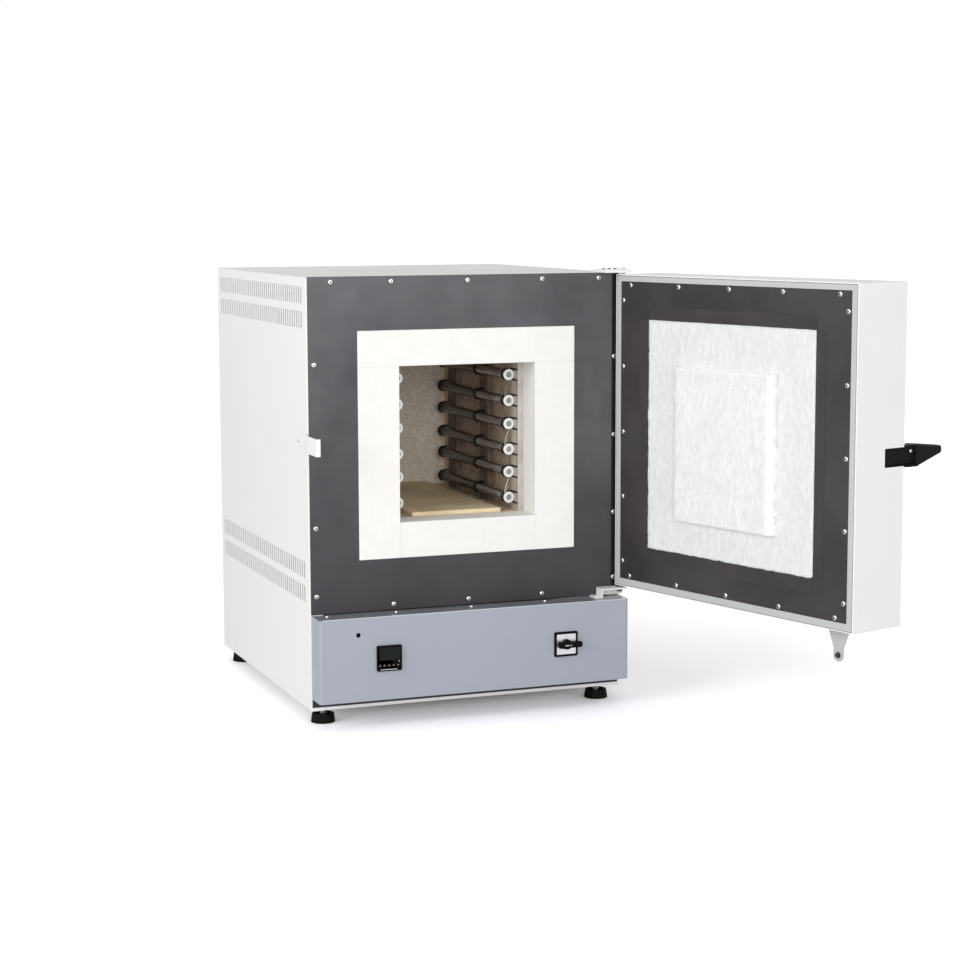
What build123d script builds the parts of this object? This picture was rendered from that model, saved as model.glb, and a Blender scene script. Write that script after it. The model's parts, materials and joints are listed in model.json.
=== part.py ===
from build123d import *

import os
from math import cos, radians, sin

os.makedirs("parts", exist_ok=True)

# A bench muffle furnace with its door open. x runs to the right, y to the back and z up, in
# millimetres. The origin is on the floor, under the middle of the front plate's face.

# Outer casing
body_width = 626.0
body_depth = 666.0
body_height = 835.0
casing_bottom = 29.0  # floor to the casing's lower edge
casing_sheet = 1.2
casing_flange = 25.0  # folded returns of the side panels
cover_flange = 12.0
cover_fold_gap = 0.3

# Front plate, and the reveal beside it where the side panel's fold shows
plate_thickness = 2.0
plate_reveal = 2.0

# Side vents: two pairs of rows of upright slots
vent_slots = 41
vent_pitch = 15.0
vent_slot_width = 6.0
vent_slot_height = 31.0
vent_row_pitch = 45.0
vent_lower_middle = 269.0
vent_upper_middle = 778.5
vent_middle_y = 335.0

# Fibre collar round the mouth of the chamber
collar_width = 433.0
collar_bottom = 308.6
collar_sill = 66.9
collar_lintel = 66.8
collar_depth = 62.0
collar_proud = 1.0
collar_gap = 0.5  # between the collar and the plate's cut-out
mouth_width = 272.0
mouth_height = 292.5

# Chamber and its insulation boards
chamber_width = 276.0
chamber_height = 308.5
chamber_depth = 451.0
board = 100.0

# Heater tubes on both side walls
tube_heights = (25.0, 75.0, 119.0, 168.5, 213.5, 263.5)  # above the chamber floor
tube_radius = 9.0
tube_sides = 8  # the tubes and rings repeat, so each is a prism
tube_bore_radius = 6.6
tube_length = 404.0
tube_front = 81.0
tube_to_wall = 24.5  # tube axis to the chamber wall
coil_radius = 6.2
coil_inset = 6.0
ring_radius = 11.0
ring_hole_radius = 6.0
ring_length = 3.0
strip_thickness = 13.0
strip_spans = ((62.0, 98.0), (225.0, 268.0), (407.0, 455.0))  # along y, front to back
clip_places = (92.0, 246.0, 431.0)
clip_wire = 2.0
clip_gap = 0.3

# Hearth plates that the charge stands on
hearth_width = 180.0
hearth_thickness = 8.0
hearth_front = 64.0
hearth_length = 221.5
hearth_gap = 0.5

# Thermocouple through the back wall, close under the roof
probe_radius = 4.0
probe_gap = 0.3
probe_below_roof = 20.0
probe_reach = 42.0
probe_head_radius = 14.0
probe_head_length = 34.0

# Base tray, the deck over the electrical space, and the rails under the inner casing
tray_sheet = 2.0
tray_upstand = 30.0
deck_top = 206.0
deck_sheet = 1.5
deck_side_gap = 2.8
rail_middle = 160.0
rail_width = 40.0
inner_sheet = 0.8  # skin round the insulation

# Levelling feet
foot_inset_x = 33.0
foot_front_y = 37.0
foot_back_y = 629.0
foot_radius = 23.0
foot_sides = 24
foot_top_radius = 20.5
foot_height = 21.0
foot_recess_radius = 15.0
foot_recess_depth = 4.0
stud_radius = 4.0
stud_length = 28.0  # above the casing's lower edge
weld_nut_radius = 8.0
weld_nut_height = 10.0
running_gap = 0.05

# Control panel in front of the electrical space, and the ledge sheet on it
panel_width = 621.0
panel_depth = 50.0
panel_bottom = 52.0
panel_height = 156.0
panel_sheet = 1.5
panel_bend = 6.0
ledge_sheet = 1.5
ledge_to_plate = 1.5

# Temperature controller
controller_size = 48.0
controller_x = -177.0
controller_z = 131.0
controller_proud = 5.5
controller_round = 1.5
controller_cutout = 45.0
controller_length = 90.0
cutout_gap = 0.2
key_count = 5
key_pitch = 8.8
key_width = 6.0
key_height = 4.6
key_row_drop = 13.0  # below the controller's middle
key_row_shift = -1.7
key_proud = 0.6
key_travel = 0.5
key_gap = 0.15
key_depth = 2.2
window_width = 41.0
window_height = 24.0
window_rise = 8.5
window_proud = 0.4

# Rotary main switch
switch_size = 48.0
switch_x = 178.8
switch_z = 130.4
switch_plate = 3.0
switch_round = 2.0
knob_lift = 0.4
knob_hub_radius = 11.0
knob_hub_height = 7.0
knob_bar_length = 47.0
knob_bar_width = 11.0
knob_bar_height = 15.0
knob_shaft_radius = 4.0
knob_shaft_length = 14.0
shaft_hole_clearance = 2.0
switch_body_size = 42.0
switch_body_length = 46.0

# Door-operated switch behind the panel
pin_hole_x = -235.8
pin_hole_z = 177.5
pin_hole_radius = 4.5
plunger_radius = 2.5
plunger_length = 21.7
plunger_travel = 3.0
plunger_back_room = 1.2
switch_mouth_radius = 5.8
switch_mouth_depth = 7.5
door_switch_width = 24.0
door_switch_height = 18.0
door_switch_end = 6.0  # solid end behind the plunger's bore

# Door, opened by a turn about its pivot from flat against the collar
door_open_angle = 106.24
pivot_x = 308.5
pivot_y = -13.0
door_width = 626.0
door_thickness = 120.0
door_bottom = 231.4
door_height = 600.6
edge_to_pivot = 4.5
face_to_pivot = 9.0
door_sheet = 1.2
door_rim = 14.5
door_window_bottom = 247.0
door_window_height = 572.0
door_window_width = 596.5
inner_panel_sheet = 1.5
inner_panel_lap = 6.5  # hidden under the rim
block_start = 96.7  # from the hinge edge
block_width = 431.3
block_bottom = 316.0
block_height = 432.5
block_proud = 2.7
block_depth = 100.0
block_gap = 0.3
plug_start = 188.0
plug_width = 244.0
plug_bottom = 380.0
plug_height = 285.0
plug_step = 18.0
plug_round = 5.0
backing_edge = 20.0
backing_free_edge = 26.0
backing_end = 5.0

# Pan-head screws
head_radius = 4.8
head_height = 2.6
head_sides = 8
nut_sides = 6
washer_sides = 12
small_head_radius = 3.4
small_head_height = 2.0

# Screw places: height and positions across for rows, and the other way round for columns
plate_top_row = 825.0
plate_top_across = (-267.0, -150.5, 0.0, 150.5, 267.0)
plate_bottom_row = 222.0
plate_bottom_across = (-150.0, 0.0, 150.0)
plate_column = 300.0
plate_column_heights = (245.0, 372.7, 523.7, 674.7)
rear_column = 300.0
rear_column_heights = (60.0, 435.0, 815.0)
hinge_screws_across = (283.0, 295.0, 307.0)
hinge_screw_y = 14.0
hinge_foot_screw = (257.0, -16.0)
ledge_screws_across = (-285.0, -95.0, 95.0)
ledge_screw_y = -14.0
strike_screw_y = 48.0
door_row_margin = 7.0  # top and bottom rows to the edge of the inner panel
door_columns = (41.8, 175.8, 310.0, 446.3, 582.8)
door_side_columns = (21.1, 602.6)
door_column_heights = (281.5, 407.0, 532.0, 657.5, 783.0)

# Hinges
hinge_pin_radius = 3.0
pin_seat_gap = 0.02
hinge_plate = 6.0
hinge_plate_left = 268.0
hinge_plate_right = 322.0
hinge_plate_front = -28.0
hinge_plate_back = 30.0
hinge_nut_radius = 7.0
hinge_nut_height = 4.5
hinge_gap = 0.3
hinge_pin_inside = 22.0
lower_plate_left = 264.0
lower_plate_right = 318.0
lower_plate_top = 227.0
lower_plate = 3.0
lower_leg = 2.5
lower_foot = 14.0
lower_nut_radius = 5.0
lower_nut_height = 6.0

# Strike on the left side of the body
strike_sheet = 2.5
strike_bottom = 516.0
strike_height = 32.0
strike_back = 62.0
strike_jog_start = 10.0
strike_jog_end = -30.0
strike_front = -90.0
strike_offset = 8.0
strike_lip = 8.0

# Latch at the door's free edge, in the door's own directions
notch_inner = 603.0
notch_start = 71.5
notch_bottom = 513.5
notch_height = 33.0
housing_sheet = 2.5
ear_end = 147.6
ear_clearance = 1.8  # lets the grip's square root turn past the ears
latch_pivot_along = 614.0
latch_pivot_deep = 135.0
latch_pin_radius = 2.5
lever_boss_radius = 8.5
lever_thickness = 8.0
lever_gap = 0.4
nose_start = 74.5
nose_end = 82.4
nose_out = 627.3
arm_out = 621.5
fork_sheet = 2.5
grip_root = 156.0
grip_end = 218.0
grip_root_width = 26.0
grip_end_width = 20.0
grip_end_bottom = 529.0
grip_end_top = 543.0
grip_round = 3.0
latch_pin_overhang = 1.5

# Bracket and pin under the door that work the door switch
bracket_face = 47.8  # depth of the bracket's near face
bracket_sheet = 2.0
bracket_middle = 548.0
bracket_top_width = 58.0
bracket_neck_width = 23.0
bracket_neck_z = 189.0
bracket_flange = 24.0
switch_pin_radius = 2.5
switch_pin_z = 176.5
switch_pin_reach = 5.2
washer_radius = 6.0
washer_thickness = 1.0

# Electrical pieces inside and at the back
gland_x = 230.0
gland_z = 95.0
gland_radius = 11.0
gland_outside = 14.0
gland_flange = 4.0
gland_thread_radius = 8.0
gland_inside = 12.0
gland_bore_radius = 4.5
relay_width = 60.0
relay_depth = 90.0
relay_height = 48.0
relay_x = 40.0
relay_y = 260.0

# Places worked out from the sizes above
half_width = body_width / 2
wall_inside = half_width - casing_sheet
back_flange_y = body_depth - 2 * casing_sheet
back_panel_y = body_depth - casing_sheet
front_flange_y = plate_thickness
plate_half = half_width - plate_reveal
panel_top = panel_bottom + panel_height
ledge_top = panel_top + ledge_sheet
plate_bottom = ledge_top + ledge_to_plate
collar_half = collar_width / 2
collar_top_z = collar_bottom + collar_sill + mouth_height + collar_lintel
mouth_half = mouth_width / 2
mouth_bottom = collar_bottom + collar_sill
mouth_top = mouth_bottom + mouth_height
collar_back = collar_depth - collar_proud
chamber_half = chamber_width / 2
chamber_floor_z = mouth_bottom
chamber_roof_z = chamber_floor_z + chamber_height
chamber_back_y = collar_back + chamber_depth
lining_half = chamber_half + board
lining_bottom = chamber_floor_z - board
lining_top = chamber_roof_z + board
lining_back = chamber_back_y + board
tube_x = chamber_half - tube_to_wall
probe_z = chamber_roof_z - probe_below_roof
tray_top = casing_bottom + tray_sheet
panel_face = -panel_depth
deck_half = wall_inside - deck_side_gap
door_turn = radians(door_open_angle)
width_way = (-cos(door_turn), -sin(door_turn), 0)
depth_way = (sin(door_turn), -cos(door_turn), 0)
hinge_corner = (
    pivot_x + edge_to_pivot * cos(door_turn) - face_to_pivot * sin(door_turn),
    pivot_y + edge_to_pivot * sin(door_turn) + face_to_pivot * cos(door_turn),
    0,
)
door_top = door_bottom + door_height

# The door's plan: local x runs from the hinge edge to the free edge, local y from the inner face
# to the outer face, and the offset is a height above the floor
door_plan = Plane(origin=hinge_corner, x_dir=width_way, z_dir=(0, 0, 1))
# The door's inner face: local x as above, local y the height, and the offset is how far a piece
# stands out of the face
door_face = Plane(origin=hinge_corner, x_dir=width_way, z_dir=(-depth_way[0], -depth_way[1], 0))


def save(piece, label):
    """Names a finished piece and writes it to its own file."""
    piece.part.label = label
    export_step(piece.part, f"parts/{label}.step")


def block(x, y, z, frame=Plane.XY, mode=Mode.ADD):
    """A straight block between the two values given for each direction of a plan."""
    with BuildSketch(frame.offset(z[0])) as base:
        with Locations(((x[0] + x[1]) / 2, (y[0] + y[1]) / 2)):
            Rectangle(x[1] - x[0], y[1] - y[0])
    extrude(base.sketch, amount=z[1] - z[0], mode=mode)


def bar(plane, centre, radius, length, mode=Mode.ADD):
    """A round bar or hole that starts on a plane and runs along its normal."""
    with BuildSketch(plane) as section:
        with Locations(centre):
            Circle(radius)
    extrude(section.sketch, amount=length, mode=mode)


def drum(plane, centre, radius, height, sides=nut_sides, mode=Mode.ADD):
    """A nut, washer or hole with flat sides that starts on a plane and runs along its normal."""
    with BuildSketch(plane) as section:
        with Locations(centre):
            RegularPolygon(radius, sides)
    extrude(section.sketch, amount=height, mode=mode)


def facing_front(y):
    """An upright plane at a depth, looking to the front: local x to the right, local y up."""
    return Plane.XZ.offset(-y)


def screw_heads(plane, centres, radius, height):
    """Screw heads on a face, each a drum with few sides because they are many."""
    with BuildSketch(plane) as heads:
        with Locations(centres):
            RegularPolygon(radius, head_sides)
    extrude(heads.sketch, amount=height)


def side_panel(side):
    """A folded side wall with its vents. side is -1 for the left and 1 for the right."""
    outer = side * half_width
    inner = side * wall_inside
    flange_end = side * (half_width - casing_flange)
    wall = (min(outer, inner), max(outer, inner))
    returns = (min(inner, flange_end), max(inner, flange_end))
    upright = (casing_bottom, body_height - casing_sheet)
    with BuildPart() as panel:
        block(wall, (front_flange_y, back_panel_y), upright)
        block(returns, (front_flange_y, front_flange_y + casing_sheet), upright)
        block(returns, (back_flange_y, back_panel_y), upright)
        for middle in (vent_lower_middle, vent_upper_middle):
            with BuildSketch(Plane.YZ.offset(wall[0])) as slots:
                with Locations((vent_middle_y, middle)):
                    with GridLocations(vent_pitch, vent_row_pitch, vent_slots, 2):
                        Rectangle(vent_slot_width, vent_slot_height)
            extrude(slots.sketch, amount=casing_sheet, mode=Mode.SUBTRACT)
    return panel


# Outer casing
save(side_panel(-1), "side_panel_left")
save(side_panel(1), "side_panel_right")

with BuildPart() as top_cover:
    cover_under = body_height - casing_sheet
    fold_front = front_flange_y + casing_sheet + cover_fold_gap
    fold_back = back_flange_y - cover_fold_gap
    fold_half = wall_inside - cover_fold_gap
    block((-half_width, half_width), (front_flange_y, back_panel_y), (cover_under, body_height))
    block((-fold_half, fold_half), (fold_front, fold_back), (cover_under - cover_flange, cover_under))
    block(
        (-fold_half + casing_sheet, fold_half - casing_sheet),
        (fold_front + casing_sheet, fold_back - casing_sheet),
        (cover_under - cover_flange, cover_under),
        mode=Mode.SUBTRACT,
    )
save(top_cover, "top_cover")

with BuildPart() as rear_panel:
    block((-half_width, half_width), (back_panel_y, body_depth), (casing_bottom, body_height))
    bar(facing_front(body_depth), (gland_x, gland_z), gland_thread_radius, casing_sheet, Mode.SUBTRACT)
save(rear_panel, "rear_panel")

foot_places = {
    "foot_front_left": (-half_width + foot_inset_x, foot_front_y),
    "foot_front_right": (half_width - foot_inset_x, foot_front_y),
    "foot_back_left": (-half_width + foot_inset_x, foot_back_y),
    "foot_back_right": (half_width - foot_inset_x, foot_back_y),
}

with BuildPart() as base_tray:
    tray_front = front_flange_y + casing_sheet
    block((-wall_inside, wall_inside), (tray_front, back_flange_y), (casing_bottom, tray_top + tray_upstand))
    block(
        (-wall_inside + tray_sheet, wall_inside - tray_sheet),
        (tray_front + tray_sheet, back_flange_y - tray_sheet),
        (tray_top, tray_top + tray_upstand),
        mode=Mode.SUBTRACT,
    )
    for place in foot_places.values():
        drum(Plane.XY.offset(tray_top), place, weld_nut_radius, weld_nut_height)
    for place in foot_places.values():
        bar(
            Plane.XY.offset(casing_bottom),
            place,
            stud_radius + running_gap,
            tray_sheet + weld_nut_height,
            Mode.SUBTRACT,
        )
save(base_tray, "base_tray")

with BuildPart() as chassis_frame:
    deck_front = plate_thickness + casing_sheet + tray_sheet
    deck_back = back_flange_y - tray_sheet - cover_fold_gap
    block((-deck_half, deck_half), (deck_front, deck_back), (tray_top, deck_top))
    block(
        (-deck_half + deck_sheet, deck_half - deck_sheet),
        (deck_front, deck_back),
        (tray_top, deck_top - deck_sheet),
        mode=Mode.SUBTRACT,
    )
    for side in (-1, 1):
        rail = (side * rail_middle - rail_width / 2, side * rail_middle + rail_width / 2)
        block(rail, (deck_front, lining_back), (deck_top, lining_bottom - inner_sheet))
        block(
            (rail[0] + deck_sheet, rail[1] - deck_sheet),
            (deck_front, lining_back),
            (deck_top, lining_bottom - inner_sheet - deck_sheet),
            mode=Mode.SUBTRACT,
        )
save(chassis_frame, "chassis_frame")

with BuildPart() as inner_casing:
    skin_half = lining_half + inner_sheet
    block(
        (-skin_half, skin_half),
        (plate_thickness, lining_back + inner_sheet),
        (lining_bottom - inner_sheet, lining_top + inner_sheet),
    )
    block(
        (-lining_half, lining_half),
        (plate_thickness, lining_back),
        (lining_bottom, lining_top),
        mode=Mode.SUBTRACT,
    )
    bar(
        facing_front(lining_back + inner_sheet),
        (0, probe_z),
        probe_radius + probe_gap,
        inner_sheet,
        Mode.SUBTRACT,
    )
save(inner_casing, "inner_casing")

# Front plate and the fibre collar in its cut-out
with BuildPart() as front_plate:
    block((-plate_half, plate_half), (0, plate_thickness), (plate_bottom, body_height))
    block(
        (-collar_half - collar_gap, collar_half + collar_gap),
        (0, plate_thickness),
        (collar_bottom - collar_gap, collar_top_z + collar_gap),
        mode=Mode.SUBTRACT,
    )
save(front_plate, "front_plate")

collar_y = (-collar_proud, collar_back)
with BuildPart() as collar_top:
    block((-collar_half, collar_half), collar_y, (mouth_top, collar_top_z))
save(collar_top, "collar_top")

with BuildPart() as collar_base:
    block((-mouth_half, mouth_half), collar_y, (collar_bottom, mouth_bottom))
save(collar_base, "collar_bottom")

for side, label in ((-1, "collar_left"), (1, "collar_right")):
    with BuildPart() as collar_side:
        span = sorted((side * mouth_half, side * collar_half))
        block(span, collar_y, (collar_bottom, mouth_top))
    save(collar_side, label)


def rebate():
    """Clears the seat that the collar takes in the front of the insulation boards."""
    block(
        (-collar_half, collar_half),
        (plate_thickness, collar_back),
        (collar_bottom, collar_top_z),
        mode=Mode.SUBTRACT,
    )


# Insulation boards round the chamber
lining_y = (plate_thickness, lining_back)
for side, label in ((-1, "chamber_wall_left"), (1, "chamber_wall_right")):
    with BuildPart() as chamber_wall:
        span = sorted((side * chamber_half, side * lining_half))
        block(span, lining_y, (chamber_floor_z, chamber_roof_z))
        rebate()
    save(chamber_wall, label)

with BuildPart() as chamber_roof:
    block((-lining_half, lining_half), lining_y, (chamber_roof_z, lining_top))
    rebate()
save(chamber_roof, "chamber_roof")

with BuildPart() as chamber_floor:
    block((-lining_half, lining_half), lining_y, (lining_bottom, chamber_floor_z))
    rebate()
save(chamber_floor, "chamber_floor")

with BuildPart() as chamber_back:
    block((-chamber_half, chamber_half), (chamber_back_y, lining_back), (chamber_floor_z, chamber_roof_z))
    bar(facing_front(lining_back), (0, probe_z), probe_radius + probe_gap, board, Mode.SUBTRACT)
save(chamber_back, "chamber_back")

# Heater tubes with their coils, white end rings, support strips and wire clips
tube_back = tube_front + tube_length
tube_places = [
    (side * tube_x, chamber_floor_z + height) for side in (-1, 1) for height in tube_heights
]

with BuildPart() as heater_tubes:
    with BuildSketch(facing_front(tube_back)):
        with Locations(tube_places):
            RegularPolygon(tube_radius, tube_sides)
            RegularPolygon(tube_bore_radius, tube_sides, mode=Mode.SUBTRACT)
    extrude(amount=tube_length)
save(heater_tubes, "heater_tubes")

with BuildPart() as heater_coils:
    with BuildSketch(facing_front(tube_back - coil_inset)):
        with Locations(tube_places):
            RegularPolygon(coil_radius, tube_sides)
    extrude(amount=tube_length - 2 * coil_inset)
save(heater_coils, "heater_coils")

with BuildPart() as tube_end_rings:
    with BuildSketch(facing_front(tube_front)):
        with Locations(tube_places):
            RegularPolygon(ring_radius, tube_sides)
            RegularPolygon(ring_hole_radius, tube_sides, mode=Mode.SUBTRACT)
    extrude(amount=ring_length)
save(tube_end_rings, "tube_end_rings")

strip_face = chamber_half - strip_thickness
with BuildPart() as tube_supports:
    for side in (-1, 1):
        for span_y in strip_spans:
            span_x = sorted((side * strip_face, side * chamber_half))
            block(span_x, span_y, (chamber_floor_z, chamber_roof_z))
save(tube_supports, "tube_supports")

clip_inner = tube_radius + clip_gap
clip_outer = clip_inner + clip_wire
with BuildPart() as tube_clips:
    for clip_y in clip_places:
        with BuildSketch(facing_front(clip_y + clip_wire / 2)):
            for place_x, place_z in tube_places:
                side = 1 if place_x > 0 else -1
                near = place_x - side * clip_outer
                far = side * strip_face
                with Locations(((near + far) / 2, place_z)):
                    Rectangle(abs(far - near), 2 * clip_outer)
                near = place_x - side * clip_inner
                with Locations(((near + far) / 2, place_z)):
                    Rectangle(abs(far - near), 2 * clip_inner, mode=Mode.SUBTRACT)
        extrude(amount=clip_wire)
save(tube_clips, "tube_clips")

with BuildPart() as hearth_plates:
    with BuildSketch(Plane.XY.offset(chamber_floor_z)):
        plate_middle = hearth_front + hearth_length + hearth_gap / 2
        with Locations((0, plate_middle)):
            with GridLocations(0, hearth_length + hearth_gap, 1, 2):
                Rectangle(hearth_width, hearth_length)
    extrude(amount=hearth_thickness)
save(hearth_plates, "hearth_plates")

with BuildPart() as thermocouple:
    head_front = lining_back + inner_sheet
    bar(
        facing_front(head_front),
        (0, probe_z),
        probe_radius,
        board + inner_sheet + probe_reach,
    )
    drum(facing_front(head_front + probe_head_length), (0, probe_z), probe_head_radius, probe_head_length)
save(thermocouple, "thermocouple")

# Control panel: a folded box, open at the back, with soft front corners
with BuildPart() as control_panel:
    with BuildSketch(Plane.XY.offset(panel_bottom)) as panel_outline:
        with Locations((0, (panel_face + front_flange_y) / 2)):
            Rectangle(panel_width, panel_depth + front_flange_y)
        fillet(panel_outline.vertices().group_by(Axis.Y)[0], radius=panel_bend)
    extrude(amount=panel_height)
    with BuildSketch(Plane.XY.offset(panel_bottom + panel_sheet)) as panel_inside:
        with Locations((0, (panel_face + panel_sheet + front_flange_y) / 2)):
            Rectangle(panel_width - 2 * panel_sheet, panel_depth + front_flange_y - panel_sheet)
        fillet(panel_inside.vertices().group_by(Axis.Y)[0], radius=panel_bend - panel_sheet)
    extrude(amount=panel_height - 2 * panel_sheet, mode=Mode.SUBTRACT)
    with BuildSketch(facing_front(panel_face + panel_sheet)):
        with Locations((controller_x, controller_z)):
            Rectangle(controller_cutout + 2 * cutout_gap, controller_cutout + 2 * cutout_gap)
        with Locations((switch_x, switch_z)):
            Circle(knob_shaft_radius + shaft_hole_clearance)
        with Locations((pin_hole_x, pin_hole_z)):
            Circle(pin_hole_radius)
    extrude(amount=panel_sheet, mode=Mode.SUBTRACT)
save(control_panel, "control_panel")

with BuildPart() as panel_ledge:
    with BuildSketch(Plane.XY.offset(panel_top)) as ledge_outline:
        with Locations((0, (panel_face + front_flange_y) / 2)):
            Rectangle(panel_width, panel_depth + front_flange_y)
        fillet(ledge_outline.vertices().group_by(Axis.Y)[0], radius=panel_bend)
    extrude(amount=ledge_sheet)
save(panel_ledge, "panel_ledge")

# Temperature controller with a window and a row of keys
controller_face = panel_face - controller_proud
key_places = [
    (controller_x + key_row_shift + (index - (key_count - 1) / 2) * key_pitch, controller_z - key_row_drop)
    for index in range(key_count)
]
key_back = controller_face - key_proud + key_depth
with BuildPart() as controller_body:
    with BuildSketch(facing_front(panel_face)) as bezel_outline:
        with Locations((controller_x, controller_z)):
            Rectangle(controller_size, controller_size)
        chamfer(bezel_outline.vertices(), length=controller_round)
    extrude(amount=controller_proud)
    with BuildSketch(facing_front(panel_face + controller_length)):
        with Locations((controller_x, controller_z)):
            Rectangle(controller_cutout, controller_cutout)
    extrude(amount=controller_length)
    with BuildSketch(facing_front(key_back + key_travel + key_gap)):
        with Locations(key_places):
            Rectangle(key_width + 2 * key_gap, key_height + 2 * key_gap)
    extrude(amount=controller_proud, mode=Mode.SUBTRACT)
save(controller_body, "controller_body")

for index, place in enumerate(key_places):
    with BuildPart() as controller_key:
        with BuildSketch(facing_front(key_back)):
            with Locations(place):
                Rectangle(key_width, key_height)
        extrude(amount=key_depth)
    save(controller_key, f"controller_key_{index + 1}")

with BuildPart() as controller_window:
    with BuildSketch(facing_front(controller_face)):
        with Locations((controller_x, controller_z + window_rise)):
            Rectangle(window_width, window_height)
    extrude(amount=window_proud)
save(controller_window, "controller_window")

# Rotary switch: frame in front of the panel, body behind it, knob turned to point right
switch_place = (switch_x, switch_z)
frame_face = panel_face - switch_plate
knob_back = frame_face - knob_lift
shaft_hole = knob_shaft_radius + running_gap
with BuildPart() as switch_frame:
    with BuildSketch(facing_front(panel_face)) as frame_outline:
        with Locations(switch_place):
            Rectangle(switch_size, switch_size)
        chamfer(frame_outline.vertices(), length=switch_round)
        with Locations(switch_place):
            Circle(shaft_hole, mode=Mode.SUBTRACT)
    extrude(amount=switch_plate)
save(switch_frame, "switch_frame")

with BuildPart() as switch_knob:
    bar(facing_front(knob_back + knob_shaft_length), switch_place, knob_shaft_radius, knob_shaft_length)
    bar(facing_front(knob_back), switch_place, knob_hub_radius, knob_hub_height)
    with BuildSketch(facing_front(knob_back)):
        with Locations((switch_x + knob_hub_radius / 2, switch_z)):
            SlotOverall(knob_bar_length, knob_bar_width)
    extrude(amount=knob_bar_height)
save(switch_knob, "switch_knob")

with BuildPart() as switch_body:
    body_front = panel_face + panel_sheet
    with BuildSketch(facing_front(body_front + switch_body_length)):
        with Locations(switch_place):
            Rectangle(switch_body_size, switch_body_size)
    extrude(amount=switch_body_length)
    bar(
        facing_front(knob_back + knob_shaft_length + knob_lift),
        switch_place,
        shaft_hole,
        knob_shaft_length,
        Mode.SUBTRACT,
    )
save(switch_body, "switch_body")

# Door switch behind its hole in the panel
pin_place = (pin_hole_x, pin_hole_z)
closed_face_y = pivot_y + face_to_pivot
pin_tip_y = closed_face_y - bracket_face + washer_thickness + switch_pin_reach
plunger_tip_y = pin_tip_y + hinge_gap
plunger_back_y = plunger_tip_y + plunger_length
door_switch_back = plunger_back_y + plunger_travel + plunger_back_room + door_switch_end
with BuildPart() as door_switch_body:
    with BuildSketch(facing_front(door_switch_back)):
        with Locations(pin_place):
            Rectangle(door_switch_width, door_switch_height)
    extrude(amount=door_switch_back - panel_face - panel_sheet)
    drum(
        facing_front(panel_face + panel_sheet + switch_mouth_depth),
        pin_place,
        switch_mouth_radius,
        switch_mouth_depth,
        mode=Mode.SUBTRACT,
    )
    bore_end = plunger_back_y + plunger_travel + plunger_back_room
    bar(
        facing_front(bore_end),
        pin_place,
        plunger_radius + running_gap,
        bore_end - panel_face - panel_sheet,
        Mode.SUBTRACT,
    )
save(door_switch_body, "door_switch_body")

with BuildPart() as door_switch_plunger:
    bar(facing_front(plunger_back_y), pin_place, plunger_radius, plunger_length)
save(door_switch_plunger, "door_switch_plunger")

# Levelling feet: a tapered, fluted pad with a recessed top and a threaded stud
for label, place in foot_places.items():
    with BuildPart() as foot:
        with BuildSketch(Plane.XY) as pad_foot:
            with Locations(place):
                RegularPolygon(foot_radius, foot_sides)
        with BuildSketch(Plane.XY.offset(foot_height)) as pad_top:
            with Locations(place):
                RegularPolygon(foot_top_radius, foot_sides)
        loft([pad_foot.sketch.face(), pad_top.sketch.face()], ruled=True)
        recess_floor = foot_height - foot_recess_depth
        drum(
            Plane.XY.offset(recess_floor),
            place,
            foot_recess_radius,
            foot_recess_depth,
            foot_sides,
            Mode.SUBTRACT,
        )
        bar(Plane.XY.offset(recess_floor), place, stud_radius, casing_bottom + stud_length - recess_floor)
    save(foot, label)

# Hinge brackets on the body
with BuildPart() as hinge_bracket_top:
    block(
        (hinge_plate_left, hinge_plate_right),
        (hinge_plate_front, hinge_plate_back),
        (body_height, body_height + hinge_plate),
    )
    bar(
        Plane.XY.offset(body_height),
        (pivot_x, pivot_y),
        hinge_pin_radius + running_gap,
        hinge_plate,
        Mode.SUBTRACT,
    )
save(hinge_bracket_top, "hinge_bracket_top")

with BuildPart() as hinge_bracket_bottom:
    plate_x = (lower_plate_left, lower_plate_right)
    plate_y = (hinge_plate_front, 0)
    block(plate_x, plate_y, (lower_plate_top - lower_plate, lower_plate_top))
    block(plate_x, (-lower_plate, 0), (plate_bottom, lower_plate_top))
    block((lower_plate_left, lower_plate_left + lower_leg), plate_y, (ledge_top, lower_plate_top))
    block((lower_plate_left - lower_foot, lower_plate_left), plate_y, (ledge_top, ledge_top + lower_leg))
    bar(
        Plane.XY.offset(lower_plate_top - lower_plate),
        (pivot_x, pivot_y),
        hinge_pin_radius + running_gap,
        lower_plate,
        Mode.SUBTRACT,
    )
save(hinge_bracket_bottom, "hinge_bracket_bottom")

# Strike: a jogged strip whose front lip turns in behind the latch's nose
with BuildPart() as strike:
    with BuildSketch(Plane.XY.offset(strike_bottom)):
        with BuildLine():
            Polyline(
                (-half_width, strike_back),
                (-half_width, strike_jog_start),
                (-half_width - strike_offset, strike_jog_end),
                (-half_width - strike_offset, strike_front + strike_sheet),
                (-half_width - strike_offset - strike_sheet + strike_lip, strike_front + strike_sheet),
                (-half_width - strike_offset - strike_sheet + strike_lip, strike_front),
                (-half_width - strike_offset - strike_sheet, strike_front),
                (-half_width - strike_offset - strike_sheet, strike_jog_end),
                (-half_width - strike_sheet, strike_jog_start),
                (-half_width - strike_sheet, strike_back),
                close=True,
            )
        make_face()
    extrude(amount=strike_height)
save(strike, "strike")

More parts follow.
